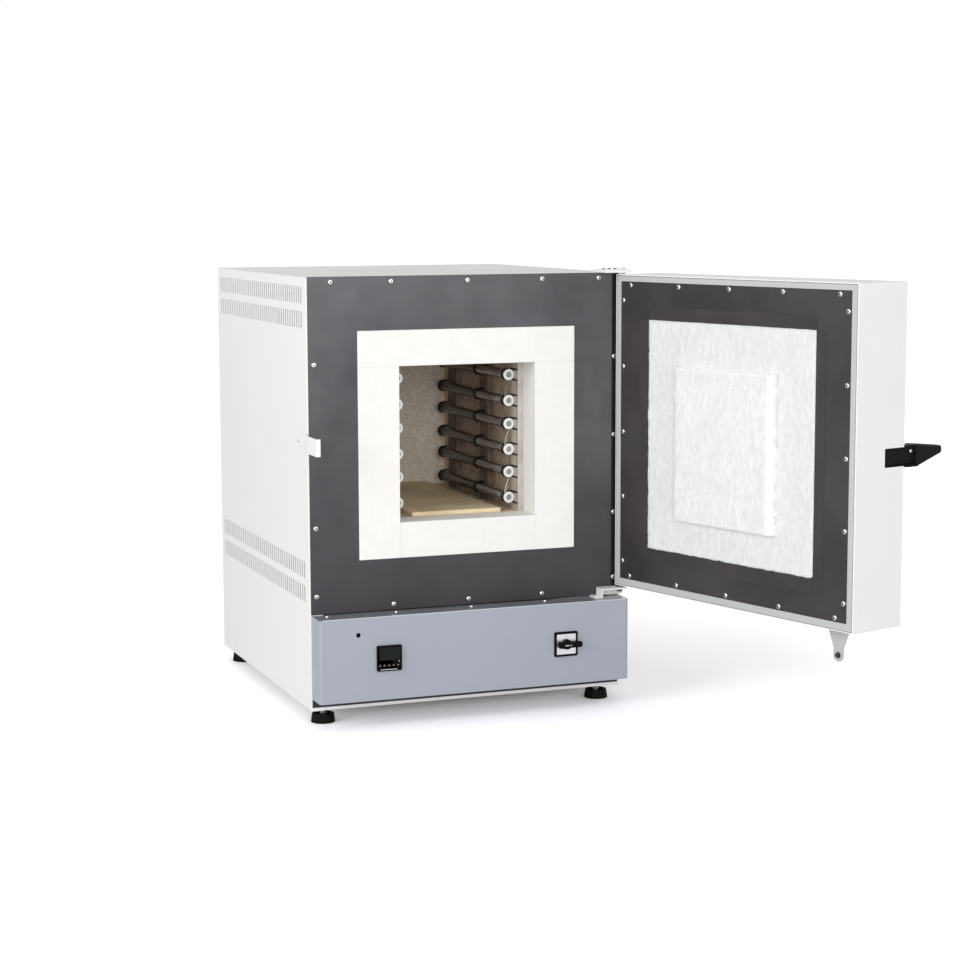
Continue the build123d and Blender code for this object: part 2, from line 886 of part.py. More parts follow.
# Door shell: a folded box with a rim round its inner window and a notch for the latch
door_z = (door_bottom, door_top)
with BuildPart() as door_shell:
    block((0, door_width), (0, door_thickness), door_z, door_plan)
    block(
        (door_sheet, door_width - door_sheet),
        (door_sheet, door_thickness - door_sheet),
        (door_bottom + door_sheet, door_top - door_sheet),
        door_plan,
        Mode.SUBTRACT,
    )
    block(
        (door_rim, door_rim + door_window_width),
        (0, door_sheet),
        (door_window_bottom, door_window_bottom + door_window_height),
        door_plan,
        Mode.SUBTRACT,
    )
    block(
        (notch_inner, door_width),
        (notch_start, door_thickness),
        (notch_bottom, notch_bottom + notch_height),
        door_plan,
        Mode.SUBTRACT,
    )
    for height in (door_bottom, door_top - door_sheet):
        bar(
            door_plan.offset(height),
            (edge_to_pivot, face_to_pivot),
            hinge_pin_radius + pin_seat_gap,
            door_sheet,
            Mode.SUBTRACT,
        )
save(door_shell, "door_shell")

lapped_start = door_rim - inner_panel_lap
lapped_end = door_rim + door_window_width + inner_panel_lap
lapped_z = (
    door_window_bottom - inner_panel_lap,
    door_window_bottom + door_window_height + inner_panel_lap,
)
panel_back = door_sheet + inner_panel_sheet
pocket_x = (block_start - block_gap, block_start + block_width + block_gap)
pocket_z = (block_bottom - block_gap, block_bottom + block_height + block_gap)
with BuildPart() as door_inner_panel:
    block((lapped_start, lapped_end), (door_sheet, panel_back), lapped_z, door_plan)
    block(pocket_x, (door_sheet, panel_back), pocket_z, door_plan, Mode.SUBTRACT)
save(door_inner_panel, "door_inner_panel")

with BuildPart() as door_backing:
    block(
        (backing_edge, door_width - backing_free_edge),
        (panel_back, door_thickness - door_sheet),
        (door_bottom + backing_end, door_top - backing_end),
        door_plan,
    )
    block(pocket_x, (panel_back, block_depth), pocket_z, door_plan, Mode.SUBTRACT)
save(door_backing, "door_backing")

# Fibre block with the plug that enters the mouth
with BuildPart() as door_block:
    with BuildSketch(door_face.offset(-block_depth)):
        with Locations((block_start + block_width / 2, block_bottom + block_height / 2)):
            Rectangle(block_width, block_height)
    extrude(amount=block_depth + block_proud)
    with BuildSketch(door_face.offset(block_proud)):
        with Locations((plug_start + plug_width / 2, plug_bottom + plug_height / 2)):
            Rectangle(plug_width, plug_height)
    extrude(amount=plug_step)
    plug_rim = faces().sort_by(Axis(hinge_corner, tuple(door_face.z_dir)))[-1].edges()
    fillet(plug_rim, radius=plug_round)
save(door_block, "door_block")

# Screws of the dark inner panel
door_rows = (
    door_window_bottom + door_row_margin,
    door_window_bottom + door_window_height - door_row_margin,
)
door_screw_places = [
    *[(along, height) for along in door_columns for height in door_rows],
    *[(along, height) for along in door_side_columns for height in door_column_heights],
]
with BuildPart() as door_panel_screws:
    screw_heads(door_face.offset(-door_sheet), door_screw_places, head_radius, head_height)
save(door_panel_screws, "door_panel_screws")

# Hinge pins: they sit in the door and turn in the brackets
with BuildPart() as hinge_pins:
    pivot = (pivot_x, pivot_y)
    upper_gap = body_height - hinge_gap - door_top
    upper_nut = body_height + hinge_plate + hinge_gap
    upper_start = door_top - hinge_pin_inside
    bar(Plane.XY.offset(upper_start), pivot, hinge_pin_radius, upper_nut - upper_start)
    drum(Plane.XY.offset(door_top), pivot, hinge_nut_radius, upper_gap, washer_sides)
    drum(Plane.XY.offset(upper_nut), pivot, hinge_nut_radius, hinge_nut_height)
    lower_nut_top = lower_plate_top - lower_plate - hinge_gap
    spacer_bottom = lower_plate_top + hinge_gap
    lower_end = door_bottom + hinge_pin_inside
    bar(Plane.XY.offset(lower_nut_top), pivot, hinge_pin_radius, lower_end - lower_nut_top)
    spacer_height = door_bottom - spacer_bottom
    drum(Plane.XY.offset(spacer_bottom), pivot, hinge_nut_radius, spacer_height, washer_sides)
    drum(Plane.XY.offset(lower_nut_top - lower_nut_height), pivot, lower_nut_radius, lower_nut_height)
save(hinge_pins, "hinge_pins")

# Bracket and pin that work the door switch
bracket_round = bracket_neck_width / 2
with BuildPart() as switch_bracket:
    with BuildSketch(door_face.offset(-bracket_face - bracket_sheet)):
        with BuildLine():
            neck_left = bracket_middle - bracket_neck_width / 2
            neck_right = bracket_middle + bracket_neck_width / 2
            top_left = bracket_middle - bracket_top_width / 2
            top_right = bracket_middle + bracket_top_width / 2
            Polyline(
                (neck_right, switch_pin_z),
                (neck_right, bracket_neck_z),
                (top_right, door_bottom),
                (top_left, door_bottom),
                (neck_left, bracket_neck_z),
                (neck_left, switch_pin_z),
            )
            RadiusArc((neck_left, switch_pin_z), (neck_right, switch_pin_z), -bracket_round)
        make_face()
        with Locations((bracket_middle, switch_pin_z)):
            Circle(switch_pin_radius + pin_seat_gap, mode=Mode.SUBTRACT)
    extrude(amount=bracket_sheet)
    block(
        (bracket_middle - bracket_top_width / 2, bracket_middle + bracket_top_width / 2),
        (bracket_face + bracket_sheet, bracket_face + bracket_flange),
        (door_bottom - bracket_sheet, door_bottom),
        door_plan,
    )
save(switch_bracket, "switch_bracket")

with BuildPart() as switch_pin:
    pin_centre = (bracket_middle, switch_pin_z)
    bar(
        door_face.offset(-bracket_face - bracket_sheet),
        pin_centre,
        switch_pin_radius,
        bracket_sheet + washer_thickness + switch_pin_reach,
    )
    drum(door_face.offset(-bracket_face), pin_centre, washer_radius, washer_thickness, washer_sides)
    drum(
        door_face.offset(-bracket_face - bracket_sheet - switch_pin_radius),
        pin_centre,
        washer_radius - washer_thickness,
        switch_pin_radius,
    )
save(switch_pin, "switch_pin")

# Latch: a housing in the door's notch, and a lever with a grip on an upright pin
notch_top = notch_bottom + notch_height
latch_pivot = (latch_pivot_along, latch_pivot_deep)
housing_x = (notch_inner, door_width)
housing_inside_z = (notch_bottom + housing_sheet, notch_top - housing_sheet)
with BuildPart() as latch_bracket:
    block(housing_x, (notch_start, ear_end), (notch_bottom, notch_top), door_plan)
    block(
        (notch_inner + housing_sheet, door_width),
        (notch_start + housing_sheet, ear_end),
        housing_inside_z,
        door_plan,
        Mode.SUBTRACT,
    )
    block(
        (notch_inner, notch_inner + housing_sheet),
        (door_thickness, ear_end),
        housing_inside_z,
        door_plan,
        Mode.SUBTRACT,
    )
    bar(
        door_plan.offset(notch_bottom),
        latch_pivot,
        latch_pin_radius + pin_seat_gap,
        notch_height,
        Mode.SUBTRACT,
    )
save(latch_bracket, "latch_bracket")

lever_bottom = housing_inside_z[0] + lever_gap
lever_top = housing_inside_z[1] - lever_gap
fork_bottom = notch_bottom - lever_gap - fork_sheet
fork_top = notch_top + lever_gap + fork_sheet
arm_in = arm_out - lever_thickness
root_start = ear_end + ear_clearance
with BuildPart() as latch_lever:
    with BuildSketch(door_plan.offset(lever_bottom)):
        with BuildLine():
            Polyline(
                (arm_in, nose_start),
                (nose_out - lever_thickness / 2, nose_start),
                (nose_out, nose_start + lever_thickness / 4),
                (nose_out, nose_end),
                (arm_out, nose_end),
                (arm_out, latch_pivot_deep),
                (arm_out, root_start),
                (arm_in - lever_thickness / 2, root_start),
                (arm_in - lever_thickness / 2, latch_pivot_deep),
                (arm_in, latch_pivot_deep - lever_boss_radius),
                close=True,
            )
        make_face()
        with Locations(latch_pivot):
            Circle(lever_boss_radius)
    extrude(amount=lever_top - lever_bottom)
    grip_x = (latch_pivot_along - grip_root_width / 2, latch_pivot_along + grip_root_width / 2)
    for height in (fork_bottom, fork_top - fork_sheet):
        with BuildSketch(door_plan.offset(height)):
            with Locations(latch_pivot):
                Circle(grip_root_width / 2)
            with Locations((latch_pivot_along, (latch_pivot_deep + root_start) / 2)):
                Rectangle(grip_root_width, root_start - latch_pivot_deep)
        extrude(amount=fork_sheet)
    block(grip_x, (root_start, grip_root), (fork_bottom, fork_top), door_plan)
    grip_foot = Plane(
        origin=door_plan.from_local_coords((latch_pivot_along, grip_root, 0)),
        x_dir=width_way,
        z_dir=depth_way,
    )
    with BuildSketch(grip_foot) as foot_section:
        with Locations((0, -(fork_bottom + fork_top) / 2)):
            Rectangle(grip_root_width, fork_top - fork_bottom)
        chamfer(foot_section.vertices(), length=grip_round)
    with BuildSketch(grip_foot.offset(grip_end - grip_root)) as end_section:
        with Locations((0, -(grip_end_bottom + grip_end_top) / 2)):
            Rectangle(grip_end_width, grip_end_top - grip_end_bottom)
        chamfer(end_section.vertices(), length=grip_round)
    loft([foot_section.sketch.face(), end_section.sketch.face()], ruled=True)
    bar(
        door_plan.offset(fork_bottom),
        latch_pivot,
        latch_pin_radius + running_gap,
        fork_top - fork_bottom,
        Mode.SUBTRACT,
    )
save(latch_lever, "latch_lever")

with BuildPart() as latch_pin:
    bar(
        door_plan.offset(fork_bottom - latch_pin_overhang),
        latch_pivot,
        latch_pin_radius,
        fork_top - fork_bottom + 2 * latch_pin_overhang,
    )
save(latch_pin, "latch_pin")

# Screws of the front plate, and those of the hinges, strike, ledge and rear panel
plate_screw_places = [
    *[(x, plate_top_row) for x in plate_top_across],
    *[(x, plate_bottom_row) for x in plate_bottom_across],
    *[(side * plate_column, z) for side in (-1, 1) for z in plate_column_heights],
]
with BuildPart() as front_plate_screws:
    screw_heads(Plane.XZ, plate_screw_places, head_radius, head_height)
save(front_plate_screws, "front_plate_screws")

rear_screw_places = [(side * rear_column, z) for side in (-1, 1) for z in rear_column_heights]
hinge_screw_places = [(x, hinge_screw_y) for x in hinge_screws_across]
ledge_screw_places = [(x, ledge_screw_y) for x in ledge_screws_across]
strike_outer_x = -half_width - strike_sheet
strike_middle = strike_bottom + strike_height / 2
small = (small_head_radius, small_head_height)
with BuildPart() as casing_screws:
    screw_heads(Plane.XY.offset(body_height + hinge_plate), hinge_screw_places, *small)
    screw_heads(Plane.XY.offset(ledge_top + lower_leg), [hinge_foot_screw], *small)
    screw_heads(Plane.XY.offset(ledge_top), ledge_screw_places, *small)
    strike_outer = Plane(origin=(strike_outer_x, 0, 0), x_dir=(0, -1, 0), z_dir=(-1, 0, 0))
    screw_heads(strike_outer, [(-strike_screw_y, strike_middle)], *small)
    rear_face = Plane(origin=(0, body_depth, 0), x_dir=(-1, 0, 0), z_dir=(0, 1, 0))
    screw_heads(rear_face, rear_screw_places, *small)
save(casing_screws, "casing_screws")

# Cable gland in the rear panel, and the power relay on the tray
with BuildPart() as cable_gland:
    gland_place = (gland_x, gland_z)
    drum(facing_front(body_depth + gland_outside), gland_place, gland_radius, gland_outside)
    bar(
        facing_front(body_depth),
        gland_place,
        gland_thread_radius - pin_seat_gap,
        casing_sheet + gland_inside,
    )
    drum(facing_front(back_panel_y), gland_place, gland_radius, gland_flange)
    bar(
        facing_front(body_depth + gland_outside),
        gland_place,
        gland_bore_radius,
        gland_outside + casing_sheet + gland_inside,
        Mode.SUBTRACT,
    )
save(cable_gland, "cable_gland")

with BuildPart() as power_relay:
    block(
        (relay_x - relay_width / 2, relay_x + relay_width / 2),
        (relay_y, relay_y + relay_depth),
        (tray_top, tray_top + relay_height),
    )
save(power_relay, "power_relay")
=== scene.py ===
import json
from math import cos, pi, radians, sin

import bmesh
import bpy
from mathutils import Matrix, Vector, noise


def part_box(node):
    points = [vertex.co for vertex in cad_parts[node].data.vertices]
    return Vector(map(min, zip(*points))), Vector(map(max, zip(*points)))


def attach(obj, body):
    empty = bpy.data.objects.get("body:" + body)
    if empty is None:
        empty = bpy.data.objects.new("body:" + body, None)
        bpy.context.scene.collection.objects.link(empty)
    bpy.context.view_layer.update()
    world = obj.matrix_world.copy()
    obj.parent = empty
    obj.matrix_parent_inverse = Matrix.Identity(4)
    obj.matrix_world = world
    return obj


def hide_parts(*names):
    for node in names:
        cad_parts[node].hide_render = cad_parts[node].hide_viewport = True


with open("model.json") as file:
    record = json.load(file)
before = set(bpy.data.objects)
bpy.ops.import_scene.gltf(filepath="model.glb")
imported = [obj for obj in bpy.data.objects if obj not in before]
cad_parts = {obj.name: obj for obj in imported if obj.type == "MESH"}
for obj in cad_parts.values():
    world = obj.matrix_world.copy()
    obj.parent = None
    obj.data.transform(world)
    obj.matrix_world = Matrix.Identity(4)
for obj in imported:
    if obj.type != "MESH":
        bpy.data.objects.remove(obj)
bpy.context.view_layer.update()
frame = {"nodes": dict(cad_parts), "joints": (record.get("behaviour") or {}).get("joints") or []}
nodes = frame["nodes"]

# A bench muffle furnace with its door open. Metres, x to the right, y to the back, z up.

MM = 0.001
TO_FRONT = Matrix.Rotation(pi / 2, 4, "X")  # turns +z to the front
TO_BACK = Matrix.Rotation(-pi / 2, 4, "X")
TO_LEFT = Matrix.Rotation(-pi / 2, 4, "Y")

# The door's own directions: along from the hinge edge, deep from the inner face, and height
EDGE_TO_PIVOT = 4.5 * MM
FACE_TO_PIVOT = 9.0 * MM
hinge = next(joint for joint in frame["joints"] if joint["name"] == "door_hinge")
door_turn = radians(-hinge["range_deg"][0])
pivot = Vector((hinge["pos_m"][0], hinge["pos_m"][1], 0))
door_along = Vector((-cos(door_turn), -sin(door_turn), 0))
door_deep = Vector((sin(door_turn), -cos(door_turn), 0))
hinge_corner = pivot - door_along * EDGE_TO_PIVOT - door_deep * FACE_TO_PIVOT
door_place = Matrix.Translation(hinge_corner) @ Matrix(
    (
        (door_along.x, door_deep.x, 0, 0),
        (door_along.y, door_deep.y, 0, 0),
        (0, 0, 1, 0),
        (0, 0, 0, 1),
    )
)


# Shader node groups


def new_group(name, inputs, outputs):
    """A node group with its sockets, and its input and output nodes."""
    tree = bpy.data.node_groups.new(name, "ShaderNodeTree")
    for label, kind, value in inputs:
        socket = tree.interface.new_socket(label, in_out="INPUT", socket_type=kind)
        socket.default_value = value
    for label, kind in outputs:
        tree.interface.new_socket(label, in_out="OUTPUT", socket_type=kind)
    return tree, tree.nodes.new("NodeGroupInput"), tree.nodes.new("NodeGroupOutput")


def feed(tree, socket, value):
    """Links a socket to another one, or gives it a value."""
    if isinstance(value, bpy.types.NodeSocket):
        tree.links.new(value, socket)
    else:
        socket.default_value = value


def add_node(tree, kind, *values, operation=None, group=None, **named):
    """A node whose inputs are fed by their order, or by their names with _ for a space."""
    made = tree.nodes.new(kind)
    if operation:
        made.operation = operation
    if group:
        made.node_tree = group
    for index, value in enumerate(values):
        feed(tree, made.inputs[index], value)
    for name, value in named.items():
        feed(tree, made.inputs[name.replace("_", " ")], value)
    return made


def object_place(tree):
    """Object coordinates."""
    return tree.nodes.new("ShaderNodeTexCoord").outputs["Object"]


def stretched_place(tree, given):
    """Object coordinates, stretched by the group's Stretch socket."""
    stretch = given.outputs["Stretch"]
    made = add_node(tree, "ShaderNodeVectorMath", object_place(tree), stretch, operation="MULTIPLY")
    return made.outputs["Vector"]


def noise_of(tree, place, scale, detail, roughness=0.55, distortion=0.0):
    """Noise. scale is a socket of the group or a number."""
    made = add_node(
        tree, "ShaderNodeTexNoise", Vector=place, Scale=scale, Detail=detail, Roughness=roughness,
        Distortion=distortion,
    )
    return made.outputs["Fac"]


def spread(tree, value, low, high, out_low=0.0, out_high=1.0):
    """Maps the band from low to high onto another one."""
    band = {"From Min": low, "From Max": high, "To Min": out_low, "To Max": out_high}
    return add_node(tree, "ShaderNodeMapRange", Value=value, **band).outputs["Result"]


def blend_colours(tree, amount, first, second):
    """Mixes two colours. Each is a socket or four numbers."""
    made = tree.nodes.new("ShaderNodeMix")
    made.data_type = "RGBA"
    feed(tree, made.inputs["Factor"], amount)
    colours = [one for one in made.inputs if one.type == "RGBA"]
    feed(tree, colours[0], first)
    feed(tree, colours[1], second)
    return [one for one in made.outputs if one.type == "RGBA"][0]


def calculate(tree, operation, first, second):
    """One sum of two values, each a socket or a number."""
    return add_node(tree, "ShaderNodeMath", first, second, operation=operation).outputs["Value"]


COLOUR = "NodeSocketColor"
NUMBER = "NodeSocketFloat"
VECTOR = "NodeSocketVector"


def make_patches():
    """Soft patches of a second colour, and a roughness that wanders with them."""
    tree, given, made = new_group(
        "patches",
        [
            ("Colour", COLOUR, (0.8, 0.8, 0.8, 1)),
            ("Patch Colour", COLOUR, (0.7, 0.7, 0.7, 1)),
            ("Scale", NUMBER, 5.0),
            ("Stretch", VECTOR, (1, 1, 1)),
            ("Roughness", NUMBER, 0.5),
        ],
        [("Colour", COLOUR), ("Roughness", NUMBER)],
    )
    place = stretched_place(tree, given)
    cloud = noise_of(tree, place, given.outputs["Scale"], 4.0, 0.6)
    amount = spread(tree, cloud, 0.36, 0.66)
    mixed = blend_colours(tree, amount, given.outputs["Colour"], given.outputs["Patch Colour"])
    wander = spread(tree, cloud, 0.3, 0.7, 0.88, 1.12)
    rough = calculate(tree, "MULTIPLY", wander, given.outputs["Roughness"])
    tree.links.new(mixed, made.inputs["Colour"])
    tree.links.new(rough, made.inputs["Roughness"])
    return tree


def make_grain():
    """A fine even grain, as of powder coat, moulded plastic or cast ceramic."""
    tree, given, made = new_group(
        "grain",
        [("Scale", NUMBER, 900.0), ("Stretch", VECTOR, (1, 1, 1))],
        [("Height", NUMBER)],
    )
    place = stretched_place(tree, given)
    fine = noise_of(tree, place, given.outputs["Scale"], 2.0)
    coarse_scale = calculate(tree, "MULTIPLY", given.outputs["Scale"], 0.22)
    coarse = noise_of(tree, place, coarse_scale, 1.0)
    height = calculate(tree, "ADD", calculate(tree, "MULTIPLY", fine, 0.6), coarse)
    tree.links.new(height, made.inputs["Height"])
    return tree


def make_wool():
    """Pressed ceramic fibre: wandering ripples, loose strands and small pits."""
    tree, given, made = new_group(
        "wool",
        [
            ("Colour", COLOUR, (0.85, 0.85, 0.82, 1)),
            ("Shade Colour", COLOUR, (0.7, 0.7, 0.66, 1)),
            ("Scale", NUMBER, 40.0),
            ("Stretch", VECTOR, (1, 1, 1)),
        ],
        [("Colour", COLOUR), ("Height", NUMBER)],
    )
    place = stretched_place(tree, given)
    ripple = noise_of(tree, place, given.outputs["Scale"], 3.0, 0.5, 1.4)
    strand_scale = calculate(tree, "MULTIPLY", given.outputs["Scale"], 9.0)
    strand = noise_of(tree, place, strand_scale, 4.0, 0.7, 0.6)
    patch_scale = calculate(tree, "MULTIPLY", given.outputs["Scale"], 0.2)
    patch = noise_of(tree, place, patch_scale, 3.0)
    pits = add_node(tree, "ShaderNodeTexVoronoi", Vector=place, Scale=strand_scale)
    pit = spread(tree, pits.outputs["Distance"], 0.0, 0.12)
    loose = calculate(tree, "MULTIPLY", spread(tree, patch, 0.35, 0.7), spread(tree, strand, 0.25, 0.75))
    # Painted shade: the colour darkens where the ripples run low, besides the loose strands' own darker
    # tone.
    amount = calculate(tree, "MAXIMUM", loose, spread(tree, ripple, 0.66, 0.42))
    mixed = blend_colours(tree, amount, given.outputs["Colour"], given.outputs["Shade Colour"])
    body = calculate(tree, "ADD", ripple, calculate(tree, "MULTIPLY", strand, 0.25))
    height = calculate(tree, "ADD", body, calculate(tree, "MULTIPLY", pit, 0.1))
    tree.links.new(mixed, made.inputs["Colour"])
    tree.links.new(height, made.inputs["Height"])
    return tree


def make_shift():
    """Two colours that change over along a direction, between two distances."""
    tree, given, made = new_group(
        "shift",
        [
            ("Direction", VECTOR, (0, 1, 0)),
            ("Front Colour", COLOUR, (0.7, 0.7, 0.7, 1)),
            ("Back Colour", COLOUR, (0.1, 0.1, 0.1, 1)),
            ("Start", NUMBER, 0.1),
            ("End", NUMBER, 0.3),
        ],
        [("Colour", COLOUR), ("Amount", NUMBER)],
    )
    direction = given.outputs["Direction"]
    along = add_node(
        tree, "ShaderNodeVectorMath", object_place(tree), direction, operation="DOT_PRODUCT"
    )
    amount = spread(tree, along.outputs["Value"], given.outputs["Start"], given.outputs["End"])
    mixed = blend_colours(tree, amount, given.outputs["Front Colour"], given.outputs["Back Colour"])
    tree.links.new(mixed, made.inputs["Colour"])
    tree.links.new(amount, made.inputs["Amount"])
    return tree


def make_highlight_streaks():
    """Painted highlights: long pale streaks, as light makes along a glass tube."""
    tree, given, made = new_group(
        "highlight_streaks",
        [
            ("Colour", COLOUR, (0.1, 0.1, 0.1, 1)),
            ("Streak Colour", COLOUR, (0.8, 0.8, 0.8, 1)),
            ("Scale", NUMBER, 100.0),
            ("Stretch", VECTOR, (1, 0.05, 1)),
            ("Threshold", NUMBER, 0.6),
        ],
        [("Colour", COLOUR)],
    )
    place = stretched_place(tree, given)
    line = noise_of(tree, place, given.outputs["Scale"], 2.0)
    over = calculate(tree, "SUBTRACT", line, given.outputs["Threshold"])
    amount = spread(tree, over, 0.0, 0.08)
    mixed = blend_colours(tree, amount, given.outputs["Colour"], given.outputs["Streak Colour"])
    tree.links.new(mixed, made.inputs["Colour"])
    return tree


patches = make_patches()
grain = make_grain()
wool = make_wool()
shift = make_shift()
highlight_streaks = make_highlight_streaks()


# Materials


def rgb(red, green, blue):
    """A colour with its alpha, as the sockets take it."""
    return (red, green, blue, 1.0)


def new_material(name, metallic=0.0, coat=0.0, shine=0.5):
    """A material with its Principled shader and its node tree."""
    made = bpy.data.materials.new(name)
    made.use_nodes = True
    shader = made.node_tree.nodes["Principled BSDF"]
    shader.inputs["Metallic"].default_value = metallic
    shader.inputs["Coat Weight"].default_value = coat
    shader.inputs["Specular IOR Level"].default_value = shine
    return made, shader, made.node_tree


def place_group(tree, group, **values):
    """One group node, fed by its sockets' names with _ for a space."""
    return add_node(tree, "ShaderNodeGroup", group=group, **values)


def toned(tree, colour, patch, **values):
    """The patches group with its two colours."""
    return place_group(tree, patches, Colour=rgb(*colour), Patch_Colour=rgb(*patch), **values)


def bump(tree, shader, height, distance):
    """Feeds a height to the shader's normal. distance is in metres."""
    made = add_node(tree, "ShaderNodeBump", Height=height, Distance=distance, Strength=1.0)
    tree.links.new(made.outputs["Normal"], shader.inputs["Normal"])


def cover(tree, shader, colour, roughness, scale, depth, stretch=(1, 1, 1)):
    """Feeds the shader a colour, a roughness that is a socket or a number, and a grain."""
    feed(tree, shader.inputs["Base Color"], colour)
    feed(tree, shader.inputs["Roughness"], roughness)
    fine = place_group(tree, grain, Scale=scale, Stretch=stretch)
    bump(tree, shader, fine.outputs["Height"], depth)


def coated_sheet(
    name, colour, patch, roughness, grain_scale=1100.0, depth=0.00006, scale=4.0, coat=0.0, shine=0.5
):
    """Painted or moulded surface: soft patches of tone and a fine grain."""
    made, shader, tree = new_material(name, coat=coat, shine=shine)
    tone = toned(tree, colour, patch, Scale=scale, Roughness=roughness)
    cover(tree, shader, tone.outputs["Colour"], tone.outputs["Roughness"], grain_scale, depth)
    return made


def graded_sheet(name):
    """The front plate's dark coat: cloudy, with painted light that makes it lighter towards the top, and
    a painted shadow of the open door, black beside the door's hinge.
    """
    made, shader, tree = new_material(name, shine=0.35)
    # Painted light: the coat grows lighter towards the top.
    tones = (
        ((0.040, 0.039, 0.045), (0.024, 0.023, 0.027)),
        ((0.122, 0.120, 0.130), (0.058, 0.057, 0.064)),
    )
    low, high = (toned(tree, *pair, Scale=3.2, Roughness=0.5).outputs["Colour"] for pair in tones)
    change = place_group(
        tree, shift, Direction=(0, 0, 1), Front_Colour=low, Back_Colour=high, Start=0.20, End=0.62
    )
    # Painted shadow: the black band beside the door's hinge stands for the open door's shadow on the
    # plate.
    gap = place_group(
        tree, shift, Direction=(1, 0, 0), Front_Colour=change.outputs["Colour"],
        Back_Colour=rgb(0.003, 0.003, 0.003), Start=0.2940, End=0.2955,
    )
    cover(tree, shader, gap.outputs["Colour"], 0.5, 1100.0, 0.00006)
    return made


def bright_metal(name, colour, patch, roughness, stretch=(1, 1, 1), scale=60.0, depth=0.00003):
    """Bare or plated metal with a faint drawn grain."""
    made, shader, tree = new_material(name, metallic=1.0)
    tone = toned(tree, colour, patch, Scale=scale, Stretch=stretch, Roughness=roughness)
    cover(tree, shader, tone.outputs["Colour"], tone.outputs["Roughness"], 1500.0, depth, stretch)
    return made


def fibre(name, colour, shade, scale, depth, stretch=(1, 1, 1)):
    """Ceramic fibre board or blanket."""
    made, shader, tree = new_material(name)
    tones = {"Colour": rgb(*colour), "Shade_Colour": rgb(*shade)}
    face = place_group(tree, wool, Scale=scale, Stretch=stretch, **tones)
    tree.links.new(face.outputs["Colour"], shader.inputs["Base Color"])
    shader.inputs["Roughness"].default_value = 0.95
    bump(tree, shader, face.outputs["Height"], depth)
    return made


def smoky_tube(name):
    """Silica tube: clear with painted highlight streaks at the front, brown and dark to the back, and
    painted shade darkening its outline.
    """
    made, shader, tree = new_material(name, coat=1.0)
    # Painted highlights along the tube.
    lines = place_group(
        tree, highlight_streaks, Colour=rgb(0.40, 0.34, 0.30), Streak_Colour=rgb(1.0, 0.97, 0.93),
        Scale=230.0, Stretch=(1, 0.09, 1), Threshold=0.50,
    )
    change = place_group(
        tree, shift, Front_Colour=lines.outputs["Colour"], Back_Colour=rgb(0.085, 0.058, 0.048),
        Start=0.17, End=0.25,
    )
    # Painted shade: the tube darkens towards its outline as it turns from view.
    edge = add_node(tree, "ShaderNodeLayerWeight", Blend=0.5)
    outline = spread(tree, edge.outputs["Facing"], 0.35, 0.85)
    shaded = blend_colours(tree, outline, change.outputs["Colour"], rgb(0.012, 0.009, 0.008))
    clear = spread(tree, change.outputs["Amount"], 0.0, 1.0, 0.78, 0.97)
    tree.links.new(clear, shader.inputs["Alpha"])
    shader.inputs["Coat Roughness"].default_value = 0.05
    cover(tree, shader, shaded, 0.18, 500.0, 0.00004, stretch=(1, 0.2, 1))
    return made


def strip_ceramic(name):
    """Support strips: pale beside the mouth, brown further in."""
    made, shader, tree = new_material(name)
    near = toned(tree, (0.60, 0.56, 0.50), (0.46, 0.41, 0.36), Scale=30.0).outputs["Colour"]
    far = toned(tree, (0.25, 0.19, 0.145), (0.13, 0.092, 0.070), Scale=40.0).outputs["Colour"]
    change = place_group(tree, shift, Front_Colour=near, Back_Colour=far, Start=0.098, End=0.225)
    cover(tree, shader, change.outputs["Colour"], 0.85, 420.0, 0.0002)
    return made


white_coat = coated_sheet("white_coat", (0.84, 0.84, 0.84), (0.81, 0.815, 0.82), 0.38)
# Painted shade: the top cover's white paint, given greyer than the sides'.
top_white_painted_shade = coated_sheet("top_white_painted_shade", (0.74, 0.74, 0.74), (0.70, 0.705, 0.71), 0.38)
# Grey for the door's rim, and painted shade for the tray.
rim_grey_and_tray_shade = coated_sheet("rim_grey_and_tray_shade", (0.51, 0.512, 0.51), (0.485, 0.487, 0.485), 0.42)
bracket_grey = coated_sheet("bracket_grey", (0.50, 0.505, 0.505), (0.44, 0.445, 0.45), 0.45)
plate_dark = graded_sheet("plate_dark")
door_dark = coated_sheet(
    "door_dark", (0.030, 0.028, 0.030), (0.050, 0.046, 0.049), 0.50, scale=5.0, shine=0.3
)
tab_dark = coated_sheet(
    "tab_dark", (0.036, 0.031, 0.032), (0.048, 0.042, 0.044), 0.48, scale=9.0, shine=0.3
)
panel_blue = coated_sheet("panel_blue", (0.350, 0.374, 0.432), (0.334, 0.358, 0.416), 0.42)
ledge_grey = coated_sheet("ledge_grey", (0.25, 0.27, 0.30), (0.20, 0.215, 0.24), 0.22, coat=0.4)
# Painted highlight for the ledge's front edge.
ledge_highlight = coated_sheet("ledge_highlight", (0.62, 0.66, 0.70), (0.56, 0.60, 0.64), 0.35)
# Dark for joint lines, and for painted shade and shadow.
seam_and_shade_dark = coated_sheet("seam_and_shade_dark", (0.050, 0.050, 0.052), (0.038, 0.038, 0.040), 0.7, shine=0.1)
# Painted shade: zinc darkened for the shade inside the casing.
zinc_painted_shade = bright_metal("zinc_painted_shade", (0.16, 0.162, 0.17), (0.11, 0.112, 0.12), 0.45, scale=45.0)
screw_steel = bright_metal("screw_steel", (0.78, 0.78, 0.78), (0.66, 0.66, 0.67), 0.24)
dark_steel = bright_metal("dark_steel", (0.16, 0.155, 0.15), (0.09, 0.085, 0.085), 0.38)
